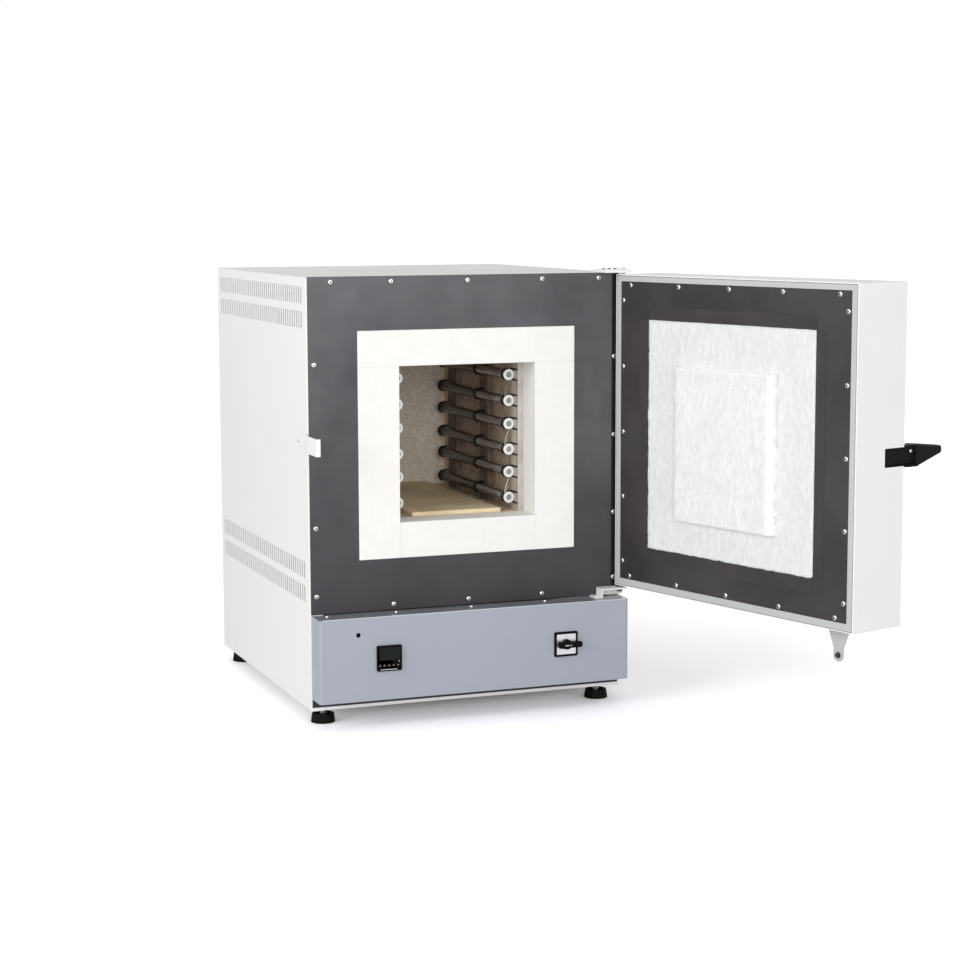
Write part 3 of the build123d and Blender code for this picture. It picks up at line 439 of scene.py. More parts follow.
# Painted shade for the screw heads' recesses.
socket_painted_shade = bright_metal("socket_painted_shade", (0.10, 0.10, 0.10), (0.06, 0.06, 0.06), 0.6)
lead_wire = bright_metal("lead_wire", (0.86, 0.84, 0.80), (0.70, 0.68, 0.64), 0.3)
coil_dark = bright_metal("coil_dark", (0.42, 0.37, 0.33), (0.26, 0.22, 0.19), 0.45)
clip_dark = coated_sheet(
    "clip_dark", (0.008, 0.006, 0.005), (0.014, 0.010, 0.008), 0.55, 700.0, shine=0.2
)
block_fibre = fibre(
    "block_fibre", (0.79, 0.79, 0.785), (0.70, 0.705, 0.69), 95.0, 0.0014, stretch=(1, 1, 0.45)
)
# Painted light: lighter copies of the block's fibre for the plug.
plug_face_painted_light = fibre(
    "plug_face_painted_light", (0.84, 0.84, 0.84), (0.74, 0.74, 0.735), 95.0, 0.0014, stretch=(1, 1, 0.45)
)
plug_edge_painted_light = fibre(
    "plug_edge_painted_light", (0.97, 0.97, 0.965), (0.93, 0.93, 0.925), 120.0, 0.0006, stretch=(1, 1, 0.45)
)
collar_fibre = fibre("collar_fibre", (0.87, 0.86, 0.83), (0.845, 0.832, 0.80), 18.0, 0.0003)
wall_fibre = fibre("wall_fibre", (0.82, 0.68, 0.53), (0.56, 0.44, 0.335), 60.0, 0.0010)
back_fibre = fibre("back_fibre", (0.96, 0.89, 0.80), (0.72, 0.64, 0.545), 150.0, 0.0022)
ring_ceramic = coated_sheet("ring_ceramic", (0.86, 0.86, 0.85), (0.78, 0.78, 0.76), 0.55, 600.0)
tube_glass = smoky_tube("tube_glass")
tube_brown = coated_sheet("tube_brown", (0.078, 0.054, 0.044), (0.045, 0.031, 0.026), 0.3, shine=0.4)
support_ceramic = strip_ceramic("support_ceramic")
hearth_tan = coated_sheet(
    "hearth_tan", (0.93, 0.79, 0.52), (0.72, 0.59, 0.37), 0.75, 500.0, 0.0002, scale=11.0
)
bore_grey = coated_sheet("bore_grey", (0.34, 0.33, 0.32), (0.24, 0.235, 0.23), 0.7, 500.0)
black_plastic = coated_sheet(
    "black_plastic", (0.004, 0.004, 0.005), (0.007, 0.007, 0.008), 0.5, 1600.0, shine=0.04
)
grip_plastic = coated_sheet(
    "grip_plastic", (0.007, 0.007, 0.0075), (0.011, 0.011, 0.0115), 0.5, 1400.0, shine=0.07
)
display_dark = coated_sheet(
    "display_dark", (0.006, 0.010, 0.008), (0.005, 0.008, 0.007), 0.35, scale=30.0, shine=0.15
)
key_grey = coated_sheet("key_grey", (0.012, 0.012, 0.012), (0.009, 0.009, 0.009), 0.5, 1500.0, shine=0.2)
# Pale print marks, and painted highlights.
pale_mark_and_highlight = coated_sheet("pale_mark_and_highlight", (0.72, 0.72, 0.70), (0.62, 0.62, 0.60), 0.5)
legend_silver = bright_metal(
    "legend_silver", (0.82, 0.82, 0.83), (0.76, 0.76, 0.78), 0.34, stretch=(0.08, 1, 1)
)
foot_rubber = coated_sheet(
    "foot_rubber", (0.005, 0.005, 0.005), (0.008, 0.008, 0.008), 0.6, 900.0, shine=0.06
)
pin_white = coated_sheet("pin_white", (0.80, 0.80, 0.78), (0.74, 0.74, 0.72), 0.4)


# The door and the fibre block on it, in the door's own directions
DOOR_WIDTH = 626 * MM
BLOCK_START = 96.7 * MM
BLOCK_END = 528.0 * MM
BLOCK_BOTTOM = 316.0 * MM
BLOCK_TOP = 748.5 * MM
BLOCK_GRID = 4.2 * MM
PLUG_START = 188.0 * MM
PLUG_END = 432.0 * MM
PLUG_BOTTOM = 380.0 * MM
PLUG_TOP = 665.0 * MM
PLUG_SLOPE = 8.0 * MM
WISP_DEPTH = 1.6 * MM
SWELL_DEPTH = 0.9 * MM
RAG_DEPTH = 1.3 * MM


# Helpers for pieces


def dress(material, *names):
    """Gives CAD nodes a material."""
    for name in names:
        for slot in nodes[name].material_slots:
            slot.material = material


def add_object(name, data):
    """Puts an object into the scene."""
    made = bpy.data.objects.new(name, data)
    bpy.context.scene.collection.objects.link(made)
    return made


def show(name, mesh, finish, body, slot, *replaced, smooth=None):
    """Makes a bmesh a piece that rides on a body. smooth is the sharpest smooth angle in degrees."""
    data = bpy.data.meshes.new(name)
    mesh.to_mesh(data)
    mesh.free()
    data.materials.append(finish)
    if smooth is not None:
        data.shade_smooth()
        data.set_sharp_from_angle(angle=radians(smooth))
    made = add_object(name, data)
    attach(made, body)
    if replaced:
        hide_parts(*replaced)
    return made


def tidy_normals(mesh):
    """Merges doubled points and turns all faces outwards."""
    bmesh.ops.remove_doubles(mesh, verts=mesh.verts, dist=0.000002)
    bmesh.ops.recalc_face_normals(mesh, faces=mesh.faces)


def copy_of(node):
    """A node's mesh with its loose triangles merged and its flat faces whole."""
    made = bmesh.new()
    made.from_mesh(nodes[node].data)
    bmesh.ops.remove_doubles(made, verts=made.verts, dist=0.000005)
    bmesh.ops.dissolve_limit(made, angle_limit=radians(0.5), verts=made.verts, edges=made.edges)
    return made


def round_edges(mesh, width, segments=2, chosen=None, least_angle=40):
    """Rounds the outward corners that a test chooses."""
    edges = []
    for edge in mesh.edges:
        if len(edge.link_faces) != 2 or edge.calc_face_angle_signed(0) < radians(least_angle):
            continue
        if chosen is None or chosen(edge):
            edges.append(edge)
    bmesh.ops.bevel(
        mesh,
        geom=edges,
        offset=width,
        offset_type="OFFSET",
        segments=segments,
        profile=0.5,
        affect="EDGES",
        clamp_overlap=True,
        material=-1,
    )


def reshape(
    node, name, finish, body, slot, width=0.0, segments=2, chosen=None, smooth=None, least_angle=40
):
    """Shows a copy of a CAD node, its chosen edges rounded, in the node's place."""
    mesh = copy_of(node)
    if width:
        round_edges(mesh, width, segments, chosen, least_angle)
    show(name, mesh, finish, body, slot, node, smooth=smooth)


def longer(limit):
    """Chooses the edges above a length in metres."""
    return lambda edge: edge.calc_length() > limit


def in_front_of(limit):
    """Chooses the edges in front of a y."""
    return lambda edge: all(vert.co.y < limit for vert in edge.verts)


def linked_verts(start):
    """The given vertices and all that edges join to them."""
    found = set(start)
    rim = list(found)
    while rim:
        for edge in rim.pop().link_edges:
            for vert in edge.verts:
                if vert not in found:
                    found.add(vert)
                    rim.append(vert)
    return found


def loose_centres(node):
    """The middle of each loose solid of a node, lowest and leftmost first."""
    mesh = bmesh.new()
    mesh.from_mesh(nodes[node].data)
    bmesh.ops.remove_doubles(mesh, verts=mesh.verts, dist=0.000005)
    left = set(mesh.verts)
    found = []
    while left:
        solid = linked_verts([left.pop()])
        left -= solid
        points = [vert.co for vert in solid]
        low = Vector([min(point[axis] for point in points) for axis in range(3)])
        high = Vector([max(point[axis] for point in points) for axis in range(3)])
        found.append((low + high) / 2)
    mesh.free()
    return sorted(found, key=lambda place: (round(place.z, 4), round(place.x, 4), place.y))


def in_mm(*points):
    """Points in metres from points in millimetres."""
    return [tuple(value * MM for value in point) for point in points]


def add_box(mesh, low, high, place=None):
    """Adds a box between two corners, then places it."""
    made = bmesh.ops.create_cube(mesh, size=1)
    low, high = Vector(low), Vector(high)
    bmesh.ops.scale(mesh, vec=high - low, verts=made["verts"])
    bmesh.ops.translate(mesh, vec=(low + high) / 2, verts=made["verts"])
    if place is not None:
        bmesh.ops.transform(mesh, matrix=place, verts=made["verts"])


def turn_profile(mesh, points, steps=32, place=None):
    """Adds a solid of revolution about z from (radius, height) points."""
    verts = [mesh.verts.new((radius, 0, height)) for radius, height in points]
    edges = [mesh.edges.new(pair) for pair in zip(verts, verts[1:])]
    made = bmesh.ops.spin(
        mesh, geom=verts + edges, cent=(0, 0, 0), axis=(0, 0, 1), angle=2 * pi, steps=steps,
        use_merge=True, use_duplicate=False,
    )
    last = [part for part in made["geom_last"] if isinstance(part, bmesh.types.BMVert)]
    if place is not None:
        bmesh.ops.transform(mesh, matrix=place, verts=list(linked_verts(verts + last)))


def add_prism(mesh, radius, low, high, sides=6, place=None, turn=0.0):
    """Adds a prism about z, such as a nut."""
    made = bmesh.ops.create_cone(
        mesh, cap_ends=True, segments=sides, radius1=radius, radius2=radius, depth=high - low
    )
    lift = Matrix.Translation((0, 0, (low + high) / 2)) @ Matrix.Rotation(turn, 4, "Z")
    whole = lift if place is None else place @ lift
    bmesh.ops.transform(mesh, matrix=whole, verts=made["verts"])


def stamp(mesh, template, place):
    """Adds a placed copy of a finished template."""
    known = len(mesh.verts)
    mesh.from_mesh(template)
    mesh.verts.ensure_lookup_table()
    bmesh.ops.transform(mesh, matrix=place, verts=mesh.verts[known:])


def template_of(mesh, name):
    """Stores a bmesh as a mesh that stamp can copy."""
    made = bpy.data.meshes.new(name)
    mesh.to_mesh(made)
    mesh.free()
    return made


def wire_mesh(name, paths, radius, sides=3, smooth_paths=False):
    """Bent round wire along several paths, as one mesh."""
    curve = bpy.data.curves.new(name, "CURVE")
    curve.dimensions = "3D"
    curve.bevel_depth = radius
    curve.bevel_resolution = sides
    curve.use_fill_caps = True
    curve.resolution_u = 4
    for path in paths:
        spline = curve.splines.new("NURBS" if smooth_paths else "POLY")
        spline.points.add(len(path) - 1)
        for point, place in zip(spline.points, path):
            point.co = (*place, 1)
        if smooth_paths:
            spline.order_u = 3
            spline.use_endpoint_u = True
    holder = add_object(name, curve)
    bpy.context.view_layer.update()
    data = bpy.data.meshes.new_from_object(holder)
    bpy.data.objects.remove(holder)
    mesh = bmesh.new()
    mesh.from_mesh(data)
    return mesh


# Screws


def pan_head(radius, height):
    """A domed head with a six-lobed recess."""
    mesh = bmesh.new()
    rim = 0.58 * radius
    outline = ((1, 0), (1, 0.30), (0.93, 0.62), (0.78, 0.85), (0.68, 0.95), (0.58, 1))
    turn_profile(mesh, [(across * radius, up * height) for across, up in outline], steps=24)
    star = bmesh.ops.create_circle(mesh, cap_ends=False, segments=24, radius=0.52 * radius)["verts"]
    for index, vert in enumerate(star):
        lobe = 0.82 + 0.18 * cos(index * pi / 2)
        vert.co = Vector((vert.co.x * lobe, vert.co.y * lobe, height))
    star_edges = list({edge for vert in star for edge in vert.link_edges})
    on_rim = {
        vert
        for vert in mesh.verts
        if abs(vert.co.z - height) < 1e-7 and abs(vert.co.xy.length - rim) < 1e-6
    }
    rim_edges = [edge for edge in mesh.edges if on_rim.issuperset(edge.verts)]
    bmesh.ops.bridge_loops(mesh, edges=star_edges + rim_edges)
    down = bmesh.ops.extrude_edge_only(mesh, edges=star_edges)["geom"]
    low_verts = [part for part in down if isinstance(part, bmesh.types.BMVert)]
    bmesh.ops.translate(mesh, vec=(0, 0, -0.6 * height), verts=low_verts)
    low_edges = [part for part in down if isinstance(part, bmesh.types.BMEdge)]
    bmesh.ops.contextual_create(mesh, geom=low_edges)
    tidy_normals(mesh)
    return template_of(mesh, "pan_head")


HEAD_RADIUS = 4.8 * MM
HEAD_HEIGHT = 2.6 * MM
SOCKET_RADIUS = 1.9 * MM
SMALL_RADIUS = 3.4 * MM
SMALL_HEIGHT = 2.0 * MM
LEDGE_SCREW_X = 150.5 * MM
big_head = pan_head(HEAD_RADIUS, HEAD_HEIGHT)
small_head = pan_head(SMALL_RADIUS, SMALL_HEIGHT)


def recessed_heads(node, lift, facing, turn_step, names, body):
    """Pan heads with painted shade in their recesses, in place of a node's plain ones."""
    heads, sockets = bmesh.new(), bmesh.new()
    for index, centre in enumerate(loose_centres(node)):
        turn = Matrix.Rotation(index * turn_step, 4, "Z")
        place = Matrix.Translation(centre + lift) @ facing @ turn
        stamp(heads, big_head, place)
        # Painted shade: a dark prism fills each head's recess.
        add_prism(sockets, SOCKET_RADIUS, HEAD_HEIGHT - 1 * MM, HEAD_HEIGHT + 0.1 * MM, place=place)
    show(names[0], sockets, socket_painted_shade, body, "screw_steel")
    show(names[1], heads, screw_steel, body, "screw_steel", node, smooth=38)


def screws_of_sheets():
    """The screws round the door's inner sheet and round the front plate."""
    facing = door_place.to_3x3().to_4x4() @ TO_FRONT
    names = ("door_head_sockets", "door_pan_heads")
    recessed_heads("door_panel_screws", door_deep * HEAD_HEIGHT / 2, facing, 0.7, names, "door")
    names = ("plate_head_sockets", "plate_pan_heads")
    lift = Vector((0, HEAD_HEIGHT / 2, 0))
    recessed_heads("front_plate_screws", lift, TO_FRONT, 1.1, names, "cabinet")


def screws_of_casing():
    """Rear, strike and ledge screws are bright, the hinge plate's are dark. The ledge has three."""
    bright, dark = bmesh.new(), bmesh.new()
    rear_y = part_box("rear_panel")[1].y
    strike_low, strike_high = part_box("strike")
    hinge_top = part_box("hinge_bracket_top")[1].z
    half = SMALL_HEIGHT / 2
    for index, centre in enumerate(loose_centres("casing_screws")):
        turn = Matrix.Rotation(index * 0.9, 4, "Z")
        if centre.y > rear_y:
            stamp(bright, small_head, Matrix.Translation((centre.x, rear_y, centre.z)) @ TO_BACK @ turn)
        elif centre.x < strike_high.x and strike_low.z < centre.z < strike_high.z:
            stamp(bright, small_head, Matrix.Translation(centre + Vector((half, 0, 0))) @ TO_LEFT @ turn)
        else:
            target = dark if centre.z > hinge_top else bright
            seat = centre - Vector((0, 0, half))
            if seat.y < -10 * MM and 80 * MM < abs(seat.x) < 120 * MM:
                if seat.x > 0:
                    stamp(target, small_head, Matrix.Translation((0, seat.y, seat.z)))
                seat.x = LEDGE_SCREW_X if seat.x > 0 else -LEDGE_SCREW_X
            stamp(target, small_head, Matrix.Translation(seat) @ turn)
    show("casing_pan_heads", bright, screw_steel, "cabinet", "screw_steel", "casing_screws", smooth=38)
    show("hinge_plate_screws", dark, dark_steel, "cabinet", "screw_steel", smooth=38)


# Casing


def casing():
    """Folded sheets with rounded folds."""
    for side in ("left", "right"):
        node = f"side_panel_{side}"
        low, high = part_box(node)
        outer = low.x if side == "left" else high.x
        reshape(
            node, f"side_sheet_{side}", white_coat, "cabinet", "casing_white", 1.0 * MM, 3,
            lambda edge: edge.calc_length() > 0.4 and all(abs(v.co.x - outer) < 1e-5 for v in edge.verts),
        )
    for node, name, finish in (
        # The top sheet takes the greyer white, as painted shade.
        ("top_cover", "top_sheet", top_white_painted_shade),
        ("rear_panel", "rear_sheet", white_coat),
        ("base_tray", "base_sheet", white_coat),
    ):
        reshape(node, name, finish, "cabinet", "casing_white", 0.5 * MM, 2, longer(0.3))


def front():
    """The dark plate and the four fibre boards round the mouth."""
    reshape(
        "front_plate", "front_sheet", plate_dark, "cabinet", "plate_dark", 0.5 * MM, 2, longer(0.3)
    )
    for side in ("top", "bottom", "left", "right"):
        reshape(
            f"collar_{side}", f"collar_block_{side}", collar_fibre, "cabinet", "fibre_white",
            0.9 * MM, 2, longer(0.03),
        )


def control_box():
    """Blue-grey panel with soft bends, the ledge on it and a painted highlight along the ledge's front
    edge.
    """
    front_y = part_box("control_panel")[0].y + 2 * MM
    reshape(
        "control_panel", "panel_sheet", panel_blue, "cabinet", "panel_blue", 1.0 * MM, 3,
        lambda edge: longer(0.3)(edge) and in_front_of(front_y)(edge),
    )
    reshape("panel_ledge", "ledge_sheet", ledge_grey, "cabinet", "ledge_grey")
    low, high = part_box("panel_ledge")
    bend = 6 * MM
    proud = 0.15 * MM
    # Painted highlight: a pale strip along the ledge's front edge.
    mesh = bmesh.new()
    add_box(
        mesh,
        (low.x + bend, low.y - proud, low.z + 0.2 * MM),
        (high.x - bend, low.y + 1.6 * MM, high.z + proud),
    )
    round_edges(mesh, 0.3 * MM, 2)
    show("ledge_edge_highlight", mesh, ledge_highlight, "cabinet", "ledge_grey")


def tray_painted_shadow():
    """Painted shadow: a dark strip under the control panel, above the tray's lip; the tray node is given
    a grey coat as painted shade.
    """
    low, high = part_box("base_tray")
    panel_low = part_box("control_panel")[0]
    lip = 6.5 * MM
    inset = 1.5 * MM
    mesh = bmesh.new()
    # Painted shadow under the control panel's overhang.
    add_box(
        mesh, (low.x + inset, 1.2 * MM, low.z + lip), (high.x - inset, low.y, panel_low.z - 0.5 * MM)
    )
    round_edges(mesh, 0.4 * MM, 1)
    show("tray_shadow_strip", mesh, seam_and_shade_dark, "cabinet", "casing_white")
    # Painted shade: the tray node is dressed grey in place of its white paint.
    dress(rim_grey_and_tray_shade, "base_tray")


# Controller and switch


def controller():
    """Bezel with a raised rim, dark display, five keys with pale marks, two small lamps and a painted
    highlight along the bezel's lower edge.
    """
    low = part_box("controller_body")[0]
    face = low.y
    reshape(
        "controller_body", "controller_bezel", black_plastic, "cabinet", "black_plastic", 1.1 * MM, 3,
        in_front_of(face + 1 * MM), smooth=30,
    )
    window_low, window_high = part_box("controller_window")
    mesh = bmesh.new()
    add_box(mesh, window_low, (window_high.x, face, window_high.z))
    round_edges(mesh, 0.35 * MM, 2, in_front_of(face - 0.1 * MM))
    show("controller_display", mesh, display_dark, "cabinet", "window_dark", "controller_window")
    mesh = bmesh.new()
    rim_z = low.z + 3.2 * MM
    for start, end, proud, middle, half in (
        (-159.8 * MM, -158.3 * MM, 0.12 * MM, 138.8 * MM, 0.9 * MM),
        (-159.8 * MM, -158.3 * MM, 0.12 * MM, 124.8 * MM, 0.9 * MM),
        # Painted highlight: a pale line along the bezel's lower edge.
        (-195 * MM, -162 * MM, 0.1 * MM, rim_z, 0.5 * MM),
    ):
        add_box(mesh, (start, face - proud, middle - half), (end, face, middle + half))
    show("controller_marks_and_highlight", mesh, pale_mark_and_highlight, "cabinet", "key_grey")
    for index in range(1, 6):
        node = f"controller_key_{index}"
        key_low, key_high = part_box(node)
        reshape(node, f"key_cap_{index}", key_grey, f"key_{index}", "key_grey", 0.3 * MM)
        middle = (key_low + key_high) / 2
        place = Matrix.Translation((middle.x, key_low.y, middle.z)) @ TO_FRONT
        mesh = bmesh.new()
        add_prism(mesh, 1.0 * MM, 0, 0.08 * MM, sides=3, place=place, turn=radians(60 * index))
        show(f"key_mark_{index}", mesh, pale_mark_and_highlight, f"key_{index}", "key_grey")


def main_switch():
    """Black frame, silver plate with two tick marks, and the turned knob with its bar."""
    low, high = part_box("switch_frame")
    middle = (low + high) / 2
    face = low.y
    reshape(
        "switch_frame", "switch_rim", black_plastic, "cabinet", "black_plastic", 0.9 * MM, 2,
        in_front_of(face + 1 * MM),
    )
    mesh = bmesh.new()
    half = 19.5 * MM
    add_box(
        mesh,
        (middle.x - half, face - 0.25 * MM, middle.z - half),
        (middle.x + half, face, middle.z + half),
    )
    round_edges(mesh, 1.2 * MM, 3, lambda edge: abs(edge.verts[0].co.y - edge.verts[1].co.y) > 0.0001)
    show("switch_plate", mesh, legend_silver, "cabinet", "screw_steel")
    mesh = bmesh.new()
    rise = face - middle.y
    for turn in (0.0, pi / 2):
        tick = Matrix.Translation(middle) @ Matrix.Rotation(-turn, 4, "Y")
        low_corner = (-0.45 * MM, rise - 0.33 * MM, 14.5 * MM)
        add_box(mesh, low_corner, (0.45 * MM, rise - 0.2 * MM, 17.5 * MM), tick)
    show("switch_ticks", mesh, black_plastic, "cabinet", "black_plastic")
    knob_low, knob_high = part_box("switch_knob")
    centre = Matrix.Translation((middle.x, face - 0.4 * MM, middle.z)) @ TO_FRONT
    disc = in_mm((0, 0), (10, 0), (10, 3), (9.4, 6.6), (8.0, 9.5), (5.0, 11.4), (0, 12))
    mesh = bmesh.new()
    turn_profile(mesh, disc, steps=40, place=centre)
    bar = bmesh.new()
    bar_top = 15.0 * MM
    add_box(
        bar,
        (knob_low.x - middle.x, -6.8 * MM, 3.0 * MM),
        (knob_high.x - middle.x, 6.8 * MM, bar_top),
    )
    for vert in bar.verts:
        on_top = vert.co.z > 10 * MM
        if vert.co.x > 0:
            vert.co.y *= 0.82
        if on_top:
            vert.co.y *= 0.86
        if on_top and vert.co.x > 0:
            vert.co.z -= 1.6 * MM
    round_edges(bar, 2.4 * MM, 4)
    stamp(mesh, template_of(bar, "knob_bar"), centre)
    tidy_normals(mesh)
    show("knob_handle", mesh, black_plastic, "main_switch", "black_plastic", "switch_knob", smooth=35)
    mesh = bmesh.new()
    tip = bar_top - 1.0 * MM
    add_box(mesh, (-8 * MM, -0.8 * MM, tip), (0, 0.8 * MM, tip + 1.2 * MM), centre)
    add_box(mesh, (3 * MM, -1.0 * MM, tip), (5 * MM, 1.0 * MM, tip + 0.6 * MM), centre)
    show("knob_mark", mesh, pale_mark_and_highlight, "main_switch", "black_plastic")


# Chamber

tube_places = loose_centres("heater_tubes")
tube_low, tube_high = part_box("heater_tubes")
ring_low, ring_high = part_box("tube_end_rings")
support_low, support_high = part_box("tube_supports")
TUBE_RADIUS = 9 * MM
STRIP_THICKNESS = 13 * MM
CLIP_WIRE = 1.6 * MM
PRONG_TIP = 63 * MM
TUBE_CUT = 26 * MM
GROOVE_Y = 66 * MM
strip_face = support_high.x - STRIP_THICKNESS


def heater_tubes():
    """Smoky tubes, each with its wound coil, and white end rings with rounded rims."""
    tubes, coils, rings = bmesh.new(), bmesh.new(), bmesh.new()
    length = tube_high.y - tube_low.y - TUBE_CUT
    far = length / MM
    thick = (ring_high.y - ring_low.y) / MM
    ring = in_mm(
        (5.6, 0), (10.6, 0), (11, 0.4), (11, thick - 0.9), (10.2, thick), (6.4, thick),
        (5.6, thick - 0.8), (5.6, 0),
    )
    for place in tube_places:
        start = Matrix.Translation((place.x, tube_low.y, place.z)) @ TO_BACK
        turn_profile(tubes, in_mm((7, 0), (9, 0), (9, far), (7, far), (7, 0)), steps=28, place=start)
        ring_start = Matrix.Translation((place.x, ring_high.y, place.z)) @ TO_FRONT
        turn_profile(rings, ring, steps=32, place=ring_start)
    tidy_normals(tubes)
    tidy_normals(rings)
    show("tube_shells", tubes, tube_glass, "cabinet", "quartz_tube", "heater_tubes", smooth=40)
    show("end_rings", rings, ring_ceramic, "cabinet", "ring_white", "tube_end_rings", smooth=40)
    winding = bmesh.new()
    section = bmesh.ops.create_circle(winding, cap_ends=False, segments=5, radius=0.9 * MM)["verts"]
    bmesh.ops.rotate(winding, verts=section, matrix=Matrix.Rotation(pi / 2, 3, "X"))
    bmesh.ops.translate(winding, verts=section, vec=(5.2 * MM, 0, 0))
    turns = 52
    per_turn = 10
    pitch = (length - 16 * MM) / turns
    bmesh.ops.spin(
        winding,
        geom=section + list({edge for vert in section for edge in vert.link_edges}),
        cent=(0, 0, 0),
        axis=(0, 0, 1),
        dvec=(0, 0, pitch / per_turn),
        angle=2 * pi * turns,
        steps=turns * per_turn,
        use_merge=False,
        use_duplicate=False,
    )
    tidy_normals(winding)
    stored = template_of(winding, "winding")
    for place in tube_places:
        stamp(coils, stored, Matrix.Translation((place.x, tube_low.y + 8 * MM, place.z)) @ TO_BACK)
    show("wound_coils", coils, coil_dark, "cabinet", "coil_wire", "heater_coils", smooth=60)


def tube_wires():
    """Bent clips that hold each tube to the strips, and the fine leads at the front."""
    clip_rows = sorted({round(place.y, 4) for place in loose_centres("tube_clips")})
    reach = TUBE_RADIUS + 1.3 * MM
    paths = []
    clip_rows[-1] = tube_high.y - TUBE_CUT - 3 * MM
    for clip_y in clip_rows:
        for place in tube_places:
            side = 1 if place.x > 0 else -1
            wall = side * (strip_face + 1 * MM)
            loop = []
            for step in range(13):
                angle = pi / 2 + pi * step / 12
                loop.append((place.x + side * reach * cos(angle), clip_y, place.z + reach * sin(angle)))
            ends = [[(wall, clip_y, place.z + turn * reach)] for turn in (1, -1)]
            if clip_y == clip_rows[0]:
                skin = side * (strip_face - 0.6 * MM)
                ends = [
                    [(skin, PRONG_TIP, place.z + turn * reach), (skin, clip_y, place.z + turn * reach)]
                    for turn in (1, -1)
                ]
            paths.append(ends[0] + loop + ends[1][::-1])
    mesh = wire_mesh("clip_wires", paths, CLIP_WIRE, 2)
    show("wire_clips", mesh, clip_dark, "cabinet", "clip_dark", "tube_clips", smooth=60)
    leads = []
    rows = sorted({round(place.z, 4) for place in tube_places})
    for place in tube_places:
        if rows.index(round(place.z, 4)) % 2:
            continue
        side = 1 if place.x > 0 else -1
        for spread_y, rise in ((0, 27 * MM), (6 * MM, 34 * MM)):
            leads.append(
                [
                    (place.x - side * 5 * MM, tube_low.y + 2 * MM + spread_y, place.z + 8 * MM),
                    (place.x - side * 3 * MM, tube_low.y + 5 * MM + spread_y, place.z + 0.5 * rise),
                    (place.x + side * 4 * MM, tube_low.y + 8 * MM + spread_y, place.z + rise),
                    (side * (strip_face + 0.5 * MM), tube_low.y + 11 * MM, place.z + rise + 4 * MM),
                ]
            )
    mesh = wire_mesh("lead_paths", leads, 0.55 * MM, 1, smooth_paths=True)
    show("element_leads", mesh, lead_wire, "cabinet", "coil_wire", smooth=60)


def tube_ends():
    """Dark sleeves at the tubes' far ends and the pale bores behind the white rings."""
    sleeves, bores = bmesh.new(), bmesh.new()
    rows = sorted({round(place.y, 4) for place in loose_centres("tube_clips")})
    depth = (tube_high.y - TUBE_CUT - rows[len(rows) // 2]) / MM
    sleeve = in_mm((0, 0), (8.7, 0), (9.3, 1), (9.3, depth), (8.8, depth + 0.5), (0, depth + 0.5))
    far_y = tube_high.y - TUBE_CUT + 0.3 * MM
    for place in tube_places:
        start = Matrix.Translation((place.x, far_y, place.z)) @ TO_FRONT
        turn_profile(sleeves, sleeve, steps=24, place=start)
        start = Matrix.Translation((place.x, ring_high.y - 0.2 * MM, place.z)) @ TO_FRONT
        add_prism(bores, 5.7 * MM, 0, 0.5 * MM, sides=20, place=start)
    tidy_normals(sleeves)
    show("tube_sleeves", sleeves, tube_brown, "cabinet", "clip_dark", smooth=40)
    show("ring_bores", bores, bore_grey, "cabinet", "ring_white")
    mesh = bmesh.new()
    for side in (-1, 1):
        low_x, high_x = sorted((side * (strip_face - 0.15 * MM), side * (strip_face + 0.5 * MM)))
        low_corner = (low_x, GROOVE_Y - 0.9 * MM, support_low.z)
        add_box(mesh, low_corner, (high_x, GROOVE_Y + 0.9 * MM, support_high.z))
    show("strip_grooves", mesh, clip_dark, "cabinet", "support_brown")


def chamber():
    dress(wall_fibre, "chamber_wall_left", "chamber_wall_right", "chamber_floor", "chamber_roof")
    dress(back_fibre, "chamber_back", "door_backing")
    dress(support_ceramic, "tube_supports")
    dress(ring_ceramic, "thermocouple")
    reshape("hearth_plates", "hearth_tiles", hearth_tan, "cabinet", "hearth_tan", 0.8 * MM)


# Door


